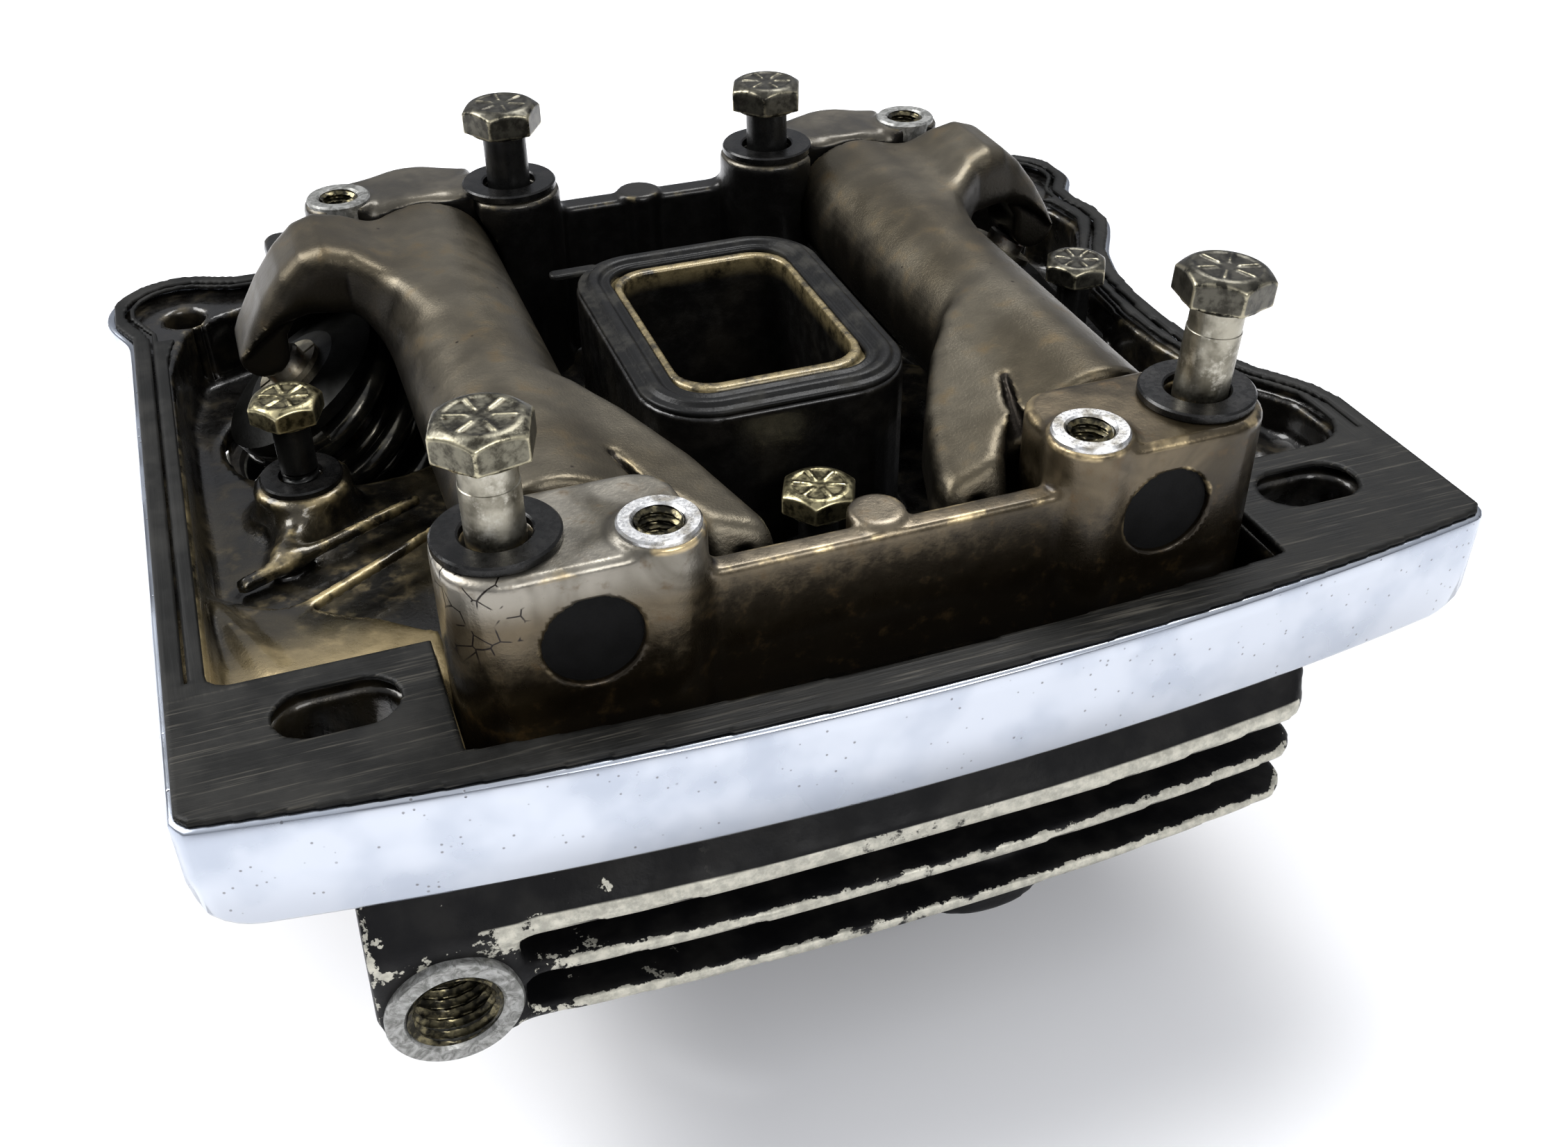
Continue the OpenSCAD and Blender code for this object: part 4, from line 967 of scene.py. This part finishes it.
rows = []
for inset, drop in ((1.9, None), (0.7, None), (0.25, -0.08), (0, -0.35), (0, -3), (0, -9)):
    ring_line = moved_in(rim_line, inset)
    rows.append(np.column_stack([ring_line, np.full(len(ring_line), 84.05 if drop is None else 84 + drop)]))
for inset, lift in ((0, 0.9), (0.25, 0.3), (0.8, 0.0), (3.5, 0.0)):
    ring_line = moved_in(rim_line, inset)
    rows.append(np.column_stack([ring_line, np.minimum(skirt_foot(rim_line, lift), 74.9)]))
rows.append(np.column_stack([moved_in(rim_line, 3.5), np.full(len(rim_line), 78.0)]))
skirt = lofted("chromed_skirt", rows[::-1])
dress(skirt, chrome_plate, "chromed_alloy")

# ---- Rim gasket ----
# A thin black facing on the rim, finely ribbed along the front, torn short of the edge in places.
facing = Finish("streaked_black_facing")
streak = facing.clouds(0.55, 3, 0.6, (28, 1, 1))
across = facing.clouds(0.6, 3, 0.6, (1, 26, 1))
on_front = facing.fit(facing.where(1), -0.088, -0.094)
lines = facing.mix(on_front, facing.node("CombineColor", across, across, across).outputs[0],
                   facing.node("CombineColor", streak, streak, streak).outputs[0])
lines = facing.node("SeparateColor", lines).outputs[0]
wear = facing.clouds(10, 4, 0.6)
skin_tone = facing.mix(facing.fit(wear, 0.4, 0.7), (0.0045, 0.0045, 0.004), (0.014, 0.0135, 0.012))
skin_tone = facing.mix(facing.times(facing.fit(lines, 0.52, 0.75), on_front), skin_tone,
                       (0.050, 0.046, 0.038))
facing.bump(lines, 0.14, 0.7)
facing_finish = facing.end(skin_tone, facing.fit(wear, 0.3, 0.7, 0.42, 0.6), Specular_IOR_Level=0.16)
facing_shape = Casting((-102, -127, 82), (102, 46, 87), 0.5)
facing_shape.metal = np.maximum(facing_shape.slab(rim_outline, 80, 90) + 0.8,
                                np.abs(facing_shape.z - 84.5) - 0.5)
pocket_wall = facing_shape.slab(pocket_outline, 70, 100)
facing_shape.cut(pocket_wall - 0.35)
for side in (-1, 1):
    facing_shape.cut(facing_shape.slab(slot_outline(side), 80, 90))
rim_wall = facing_shape.slab(rim_outline, 70, 100)
ends = np.maximum(17.0 - facing_shape.y, 68 - np.abs(facing_shape.x))
facing_shape.cut(np.maximum(rim_wall + 5.4, ends), 0.3)
facing_shape.cut(np.maximum(np.maximum(np.abs(rim_wall + 4.0) - 0.4, 84.5 - facing_shape.z),
                            -facing_shape.y - 88), 0.2)
dress(facing_shape.skin("rim_facing"), facing_finish, "gasket_rubber", "rim_gasket")

# ---- Tower seal ----
# A moulded black rubber ring on the tower, stepped in three, with a tab at its back left corner.
rows = []
for inset, z in ((0.2, 99.5), (0, 99.8), (0, 100.2), (0.35, 100.45), (1.1, 100.45), (1.5, 100.6),
                 (1.7, 101.0), (2.1, 101.2), (3.2, 101.2), (3.7, 100.9),
                 (3.9, 100.5), (4.6, 100.4), (5.1, 100.75), (5.6, 100.7), (5.8, 100.2), (5.8, 99.5)):
    loop = moved_in(np.array(cornered(-22.1, -70.6, 22.1, -10.9, 11.6, 14)), inset)
    rows.append(np.column_stack([loop, np.full(len(loop), z)]))
seal_ring = lofted("tower_seal_ring", rows)
tab = Casting((-28, -18, 98), (-14, -10, 102), 0.25)
tab.join(tab.slab(cornered(-25.5, -15.3, -16.5, -12.6, 1), 99.5, 100.5, 0.3))
dress(seal_ring, finishes["seal_rubber"], "seal_rubber", "tower_seal")
dress(tab.skin("tower_seal_tab"), finishes["seal_rubber"], "seal_rubber")

# ---- Cover thread rings ----
# Four bright rings where the cover's screws go: the boss tops are faced flat after casting and tapped.
rings, back_rings, cover_threads = [], [], []
for side in (-1, 1):
    for at in (front_thread, back_thread):
        (rings if at is front_thread
         else back_rings).append(turned_up([(3.6, -2), (5.5, -2), (5.8, -1.7), (5.8, 1.25), (5.5, 1.6),
                                            (3.9, 1.6), (3.5, 1.2)], (side * at[0], at[1], 106)))
        values = {"Radius": 0.00272, "Depth": 0.00068, "Pitch": 0.00127, "Length": 0.0135, "Rows": 130,
                  "Columns": 49}
        cover_threads.append(placed(grown("cover_thread", thread_tree, values), (side * at[0], at[1], 100.7)))
        cover_threads.append(turned_up([(0, 0), (4.2, 0), (4.2, -0.4), (0, -0.4)], (side * at[0], at[1], 94)))
dress(gathered("cover_thread_rings", rings), cut_aluminium, "chromed_alloy")
dress(gathered("back_cover_thread_rings", back_rings), dull_aluminium, "chromed_alloy")
dress(gathered("cover_threads", cover_threads), oily_thread, "chromed_alloy")

# ---- Rocker arms ----
# Forged steel arms on the shafts: a long tube, a humped arm over the valve and a blunt arm to the pushrod,
# all blended together by the forging. Satin brown-grey under oil, brighter along ridges, with painted shade
# that darkens faces not turned up, and an oil hole in the tip.
forged = Finish("oiled_forged_steel")
crest, big, mid, fine = (forged.edge(), forged.clouds(26, 2, 0.5), forged.clouds(5, 3, 0.5),
                         forged.clouds(0.5, 3, 0.65))
steel = forged.mix(forged.fit(big, 0.35, 0.65), (0.070, 0.058, 0.038), (0.112, 0.098, 0.072))
steel = forged.mix(forged.fit(mid, 0.55, 0.8, 0, 0.7), steel, (0.12, 0.085, 0.042))
steel = forged.mix(forged.fit(crest, -0.04, -0.2), steel, (0.020, 0.016, 0.012))
steel = forged.mix(forged.times(forged.fit(crest, 0.22, 0.6), forged.fit(mid, 0.45, 0.65, 0, 0.6)), steel,
                   (0.36, 0.29, 0.17))
# Painted shade: faces that do not face up turn towards a near-black copy of the steel.
painted_shade_steel = forged.mix(0.85, steel, (0.006, 0.005, 0.004))
steel = forged.mix(forged.fit(forged.plus(forged.faces(2), forged.fit(mid, 0.3, 0.7, -0.08, 0.08)), 0.80,
                              0.10), steel, painted_shade_steel)
speck_gap, speck_cell = forged.specks(2.6)
steel = forged.mix(forged.times(forged.fit(speck_gap, 0.16, 0.06),
                                forged.fit(forged.node("SeparateColor", speck_cell).outputs[0], 0.8, 0.85)),
                   steel, (0.02, 0.015, 0.01))
forged.bump(fine, 0.06, 0.8)
forged.bump(mid, 0.10, 0.25)
forged_steel = forged.end(steel, forged.fit(mid, 0.3, 0.7, 0.33, 0.44), 0.85)

hump = ([(43.1, 94), (43.6, 103.5), (48, 104.2), (53, 106.2), (58, 108.4), (63, 109.6), (67, 108.4),
         (71, 104.9), (75, 99.8), (78.2, 94.6),
         (80.4, 90.2), (79.6, 89.4), (76.5, 92.6), (72, 95.6), (67, 97), (61, 96.8), (56.5, 95)])
pad = arc(76.0, 89.9, 4.4, 0, -170, 10) + [(71.5, 93), (69, 97), (74, 98), (79, 93)]
for side, side_name in ((-1, "intake"), (1, "exhaust")):
    low, high = sorted((side * 10, side * 84))
    arm = Casting((low, -105, 78), (high, 15, 113), 0.6)
    x = side * shaft_at[0]
    arm.join(arm.rod((x, 12, 94), (x, -89, 94), 12.3, 0.8))
    plan = [(side * px, y) for px,
            y in ((38, 9), (50, 10), (62, 9.5), (84, 8.5), (84, -9), (68, -10), (60, -12), (53, -18),
                  (48, -27), (40, -36))]
    valve_arm = arm.slab(sided(hump, side), -38, 14, 0, "y")
    wide = arm.slab(plan, 70, 130)
    hook = both(valve_arm, wide, 4.5)
    hook = np.minimum(hook, arm.slab(sided(pad, side), -6.5, 6.5, 0.8, "y"))
    arm.join(hook, 5)
    plan = [(side * px, y) for px,
            y in ((45, -90), (31, -90), (26.6, -91.5), (24.2, -95), (22.6, -101.6), (17.2, -101.8),
                  (13.4, -98.5), (13.4, -94),
                                       (18.8, -78), (25.6, -65), (31.5, -57), (45, -50))]
    push = arm.slab(plan, 86.5, 104, 1.6)
    # Its top falls from the tube to the tip
    arm_top = (arm.z - 98.4 - 0.30 * (arm.x * side - 18) - 0.03 * (arm.y + 96)) * 0.95
    push = both(push, arm_top, 3.0)
    tip_face = (-arm.y - 97.0 - 0.5 * (98.5 - arm.z)) * 0.9
    push = both(push, tip_face, 1.8)
    arm.join(push, 3.5)
    arm.join(arm.rod((side * 18.6, -95.5, 84.5), (side * 18.6, -95.5, 92), 5.3, 1), 2)
    arm.cut(arm.limb((side * 28.4, -92.5, 98.5), (side * 31.8, -79, 102.2), 2.3, 0.4), 1.2)
    arm.keep(arm.y - 12.0 + 0 * arm.z)
    arm.cut(arm.rod((x, 20, 94), (x, -95, 94), 8.5))
    arm.cut(arm.ball((side * 18.6, -95.5, 84), 3.4))
    arm.cut(arm.rod((side * 18.2, -104, 97), (side * 18.2, -97, 93), 1.1), 0.5)
    piece = arm.skin(f"{side_name}_rocker_forging")
    dress(piece, forged_steel, "rocker_steel", f"{side_name}_rocker_arm", body=f"{side_name}_rocker")

# ---- Bolts and washers ----
# Inch hexagon bolts with six grade marks on the head, standing loose in their holes on black washers. Heads
# are worn zinc, the back pair's shanks are black under oil.
zinc = Finish("worn_zinc")
crest, mid, fine = zinc.edge(), zinc.clouds(2.0, 4, 0.65), zinc.clouds(0.4, 3, 0.6)
tone = zinc.mix(zinc.fit(mid, 0.36, 0.62), (0.045, 0.041, 0.030), (0.165, 0.155, 0.118))
tone = zinc.mix(zinc.fit(crest, -0.1, -0.6), tone, (0.02, 0.015, 0.008))
tone = zinc.mix(zinc.times(zinc.fit(crest, 0.25, 0.9), zinc.fit(mid, 0.3, 0.5)), tone, (0.46, 0.42, 0.29))
zinc.bump(fine, 0.04, 0.7)
zinc.bump(mid, 0.10, 0.5)
worn_zinc = zinc.end(tone, zinc.fit(mid, 0.3, 0.7, 0.26, 0.42), 0.95)
grey_steel = turned_finish("grey_shank_steel", (0.34, 0.32, 0.26), (0.11, 0.10, 0.075), 0.28,
                           tint=(0.42, 0.40, 0.34))
black_steel = turned_finish("oiled_black_steel", (0.020, 0.020, 0.019), (0.008, 0.008, 0.008), 0.26, 0.7)
tarnished = Finish("tarnished_bolt_steel")
crest, mid = tarnished.edge(), tarnished.clouds(2.0, 4, 0.65)
tone = tarnished.mix(tarnished.fit(mid, 0.36, 0.62), (0.030, 0.028, 0.022), (0.085, 0.080, 0.064))
tone = tarnished.mix(tarnished.fit(crest, -0.1, -0.6), tone, (0.01, 0.008, 0.005))
tone = tarnished.mix(tarnished.times(tarnished.fit(crest, 0.25, 0.9), tarnished.fit(mid, 0.38, 0.55)), tone,
                     (0.34, 0.31, 0.22))
tarnished.bump(mid, 0.10, 0.5)
tarnished_steel = tarnished.end(tone, 0.34, 0.9)
golden = Finish("golden_zinc")
crest, mid = golden.edge(), golden.clouds(1.4, 4, 0.65)
tone = golden.mix(golden.fit(mid, 0.36, 0.62), (0.050, 0.044, 0.024), (0.27, 0.24, 0.14))
tone = golden.mix(golden.fit(crest, -0.15, -0.8), tone, (0.02, 0.015, 0.008))
tone = golden.mix(golden.fit(crest, 0.35, 1.1), tone, (0.72, 0.64, 0.38))
golden.bump(mid, 0.06, 0.5)
golden_zinc = golden.end(tone, 0.3, 0.95)


def bolt_head(across, tall):
    """A chamfered hexagon head with six raised radial marks in a dish; its underside is at height 0."""
    c = Casting((-across * 0.62, -across * 0.62, -0.8), (across * 0.62, across * 0.62, tall + 0.8), 0.24)
    corner = across / math.sqrt(3)
    hexagon = [(corner * math.cos(math.radians(60 * i)), corner * math.sin(math.radians(60 * i)))
               for i in range(6)]
    c.join(c.slab(hexagon, 0.45, tall, 0.25))
    cone = np.hypot(c.x, c.y) - across * 0.52 + (c.z - tall * 0.86) * 1.5
    c.keep(cone * 0.55, 0.3)
    c.join(c.rod((0, 0, 0), (0, 0, 1), across * 0.47, 0.1))
    c.cut(np.maximum(np.hypot(c.x, c.y) - across * 0.36, tall - 0.18 - c.z) + 0 * c.z, 0.25)
    for i in range(6):
        a = math.radians(60 * i + 30)
        way = np.array((math.cos(a), math.sin(a), 0))
        c.join(c.limb(way * across * 0.13 + (0, 0, tall - 0.30), way * across * 0.34 + (0, 0, tall - 0.26),
                      0.34, 0.42), 0.3)
    piece = c.skin("bolt_head")
    mesh = piece.data
    bpy.data.objects.remove(piece)
    return mesh


big_head, small_head = bolt_head(12.7, 5.4), bolt_head(11.1, 4.4)
worn_heads, dark_heads, golden_heads, grey_shanks, black_shanks = [], [], [], [], []
bolt_threads_grey, bolt_threads_black = [], []
thread_grey = threaded_wall("grey_bolt_thread", grey_steel)
tilt = math.radians(3.4)
bolts = [  # place of the head's underside, way it points, spin, shank length and radius, lists to join, head
    ((-52.6, -100, 119.4), (0, 0, 1), 12, 60, bolt_r, worn_heads, grey_shanks, big_head),
    ((52.6 + 25.3 * math.sin(tilt), -100, 96 + 25.3 * math.cos(tilt)), (math.sin(tilt), 0, math.cos(tilt)),
     20, 37, bolt_r, dark_heads, grey_shanks, big_head),
    ((-25.9, 14.2, 116.9), (0, 0, 1), 0, 58, bolt_r, dark_heads, black_shanks, big_head),
    ((25.9, 14.2, 114.5), (0, 0, 1), 8, 56, bolt_r, dark_heads, black_shanks, big_head),
    ((-74.5, -26.5, 88.1), (0, 0, 1), 10, 28, small_bolt_r, golden_heads, black_shanks, small_head),
    ((74.5, -26.5, 88), (0, 0, 1), 0, 28, small_bolt_r, dark_heads, black_shanks, small_head),
    ((0, -81, 86.6), (0, 0, 1), 5, 28, small_bolt_r, golden_heads, black_shanks, small_head)]
for at, way, spin, length, r, heads, shanks, head_mesh in bolts:
    heads.append(placed(head_mesh.copy(), at, way, math.radians(spin)))
    plain_end = 24 if r > 3.5 else 9.5
    collar = 0.12 if shanks is grey_shanks else 0.0
    profile = [(0, 0.5), (r * 0.98, 0.5), (r, -0.3), (r, -4.2), (r + collar, -4.3), (r + collar, -plain_end),
               (r - 0.25, -plain_end - 0.3),
               (r - 0.72, -plain_end - 0.5), (r - 0.72, -length + 1), (r - 1.3, -length), (0, -length)]
    shanks.append(turned_up(profile, at, way, 48))
    pitch = 1.41 if r > 3.5 else 1.27
    run = length - plain_end - 1.2
    values = {"Radius": (r - 0.62) * 0.001, "Depth": 0.00060, "Pitch": pitch * 0.001, "Length": run * 0.001,
              "Rows": int(run / pitch * 8), "Columns": 33}
    middle = Vector(at) - Vector(way).normalized() * (plain_end + run / 2 + 0.4)
    (bolt_threads_grey if shanks is grey_shanks
     else bolt_threads_black).append(placed(grown("bolt_thread", thread_grey, values), middle, way))
dress(gathered("worn_bolt_head", worn_heads), worn_zinc, "bolt_steel", "boss_bolts", "floor_bolts")
dress(gathered("dark_bolt_heads", dark_heads), tarnished_steel, "bolt_steel")
dress(gathered("golden_bolt_heads", golden_heads), golden_zinc, "bolt_steel")
dress(gathered("grey_bolt_shanks", grey_shanks + bolt_threads_grey), grey_steel, "bolt_steel")
dress(gathered("black_bolt_shanks", black_shanks + bolt_threads_black), black_steel, "bolt_steel")

washers = []
for side in (-1, 1):
    for at in (front_bolt, back_bolt):
        washers.append(turned_up([(4.9, 0.2), (5.1, 0), (8.5, 0), (8.75, 0.25), (8.75, 1.2), (8.45, 1.5),
                                  (5.2, 1.5), (4.9, 1.25)],
                                 (side * at[0], at[1], 106)))
    washers.append(turned_up([(3.6, 0.1), (7, 0), (7, 0.9), (6.7, 1.2), (3.8, 1.2)],
                             (side * 74.5, -26.5, 76)))
washers.append(turned_up([(3.6, 0.1), (7, 0), (7, 0.9), (6.7, 1.2), (3.8, 1.2)], (0, -81, 76)))
oxide = Finish("black_oxide_washer")
ring_marks = oxide.clouds(0.8, 3)
oxide.bump(ring_marks, 0.03)
black_oxide = oxide.end(oxide.mix(oxide.fit(oxide.clouds(4, 4), 0.4, 0.7), (0.005, 0.005, 0.005),
                                  (0.017, 0.016, 0.015)),
                        oxide.fit(ring_marks, 0.3, 0.7, 0.22, 0.36), 0.5)
dress(gathered("washers", washers), black_oxide, "washer_steel", "boss_washers", "floor_washers")

# ---- Camera, light and floor ----
# A plain studio for looking at the part: a camera above the front, three soft panels and a pale paper floor.
# None of it belongs to the part.
camera = bpy.data.objects.new("camera", bpy.data.cameras.new("camera"))
camera.data.lens, camera.data.sensor_width = 36.48, 36.0
turn = Euler((math.radians(128.00), math.radians(-16.03), math.radians(-12.59)), "XYZ").to_matrix()
facing_way = Matrix((turn[0], -turn[1], -turn[2])).transposed().to_4x4()
camera.matrix_world = Matrix.Translation((-0.07560, -0.27236, 0.22474)) @ facing_way
camera.data.clip_start = 0.01
bpy.context.scene.collection.objects.link(camera)
bpy.context.scene.camera = camera
bpy.context.scene.view_settings.view_transform = "Standard"

floor = made("floor", [(-3000, -3000, -0.3), (3000, -3000, -0.3), (3000, 3000, -0.3), (-3000, 3000, -0.3)],
             [(0, 1, 2, 3)])
paper = Finish("paper_floor")
floor.data.materials.append(paper.end(paper.mix(paper.clouds(60, 2), (0.86, 0.86, 0.88), (0.89, 0.89, 0.90)),
                                      0.8))
world = bpy.data.worlds.new("studio")
bpy.context.scene.world = world
world.use_nodes = True
sky = world.node_tree
ramp, height = sky.nodes.new("ShaderNodeValToRGB"), sky.nodes.new("ShaderNodeSeparateXYZ")
sky.links.new(sky.nodes.new("ShaderNodeTexCoord").outputs["Generated"], height.inputs[0])
sky.links.new(height.outputs[2], ramp.inputs[0])
ramp.color_ramp.elements[0].color, ramp.color_ramp.elements[1].color = ((0.30, 0.31, 0.34, 1),
                                                                        (1.0, 1.02, 1.06, 1))
ramp.color_ramp.elements[0].position, ramp.color_ramp.elements[1].position = 0.25, 0.95
sky.links.new(ramp.outputs[0], sky.nodes["Background"].inputs[0])
sky.nodes["Background"].inputs[1].default_value = 0.8
for name, at, aim, size, power in (("window", (-0.9, 0.5, 1.1), (0, -0.04, 0.06), 0.8, 24),
                                   ("front_panel", (0.3, -1.2, 0.9), (0, -0.1, 0.05), 0.6, 9),
                                   ("top_panel", (0.5, 0.5, 1.3), (0, -0.03, 0.08), 0.6, 14)):
    light = bpy.data.objects.new(name, bpy.data.lights.new(name, "AREA"))
    light.data.size, light.data.energy = size, power
    light.location = at
    light.rotation_euler = (Vector(aim) - Vector(at)).to_track_quat("-Z", "Y").to_euler()
    bpy.context.scene.collection.objects.link(light)
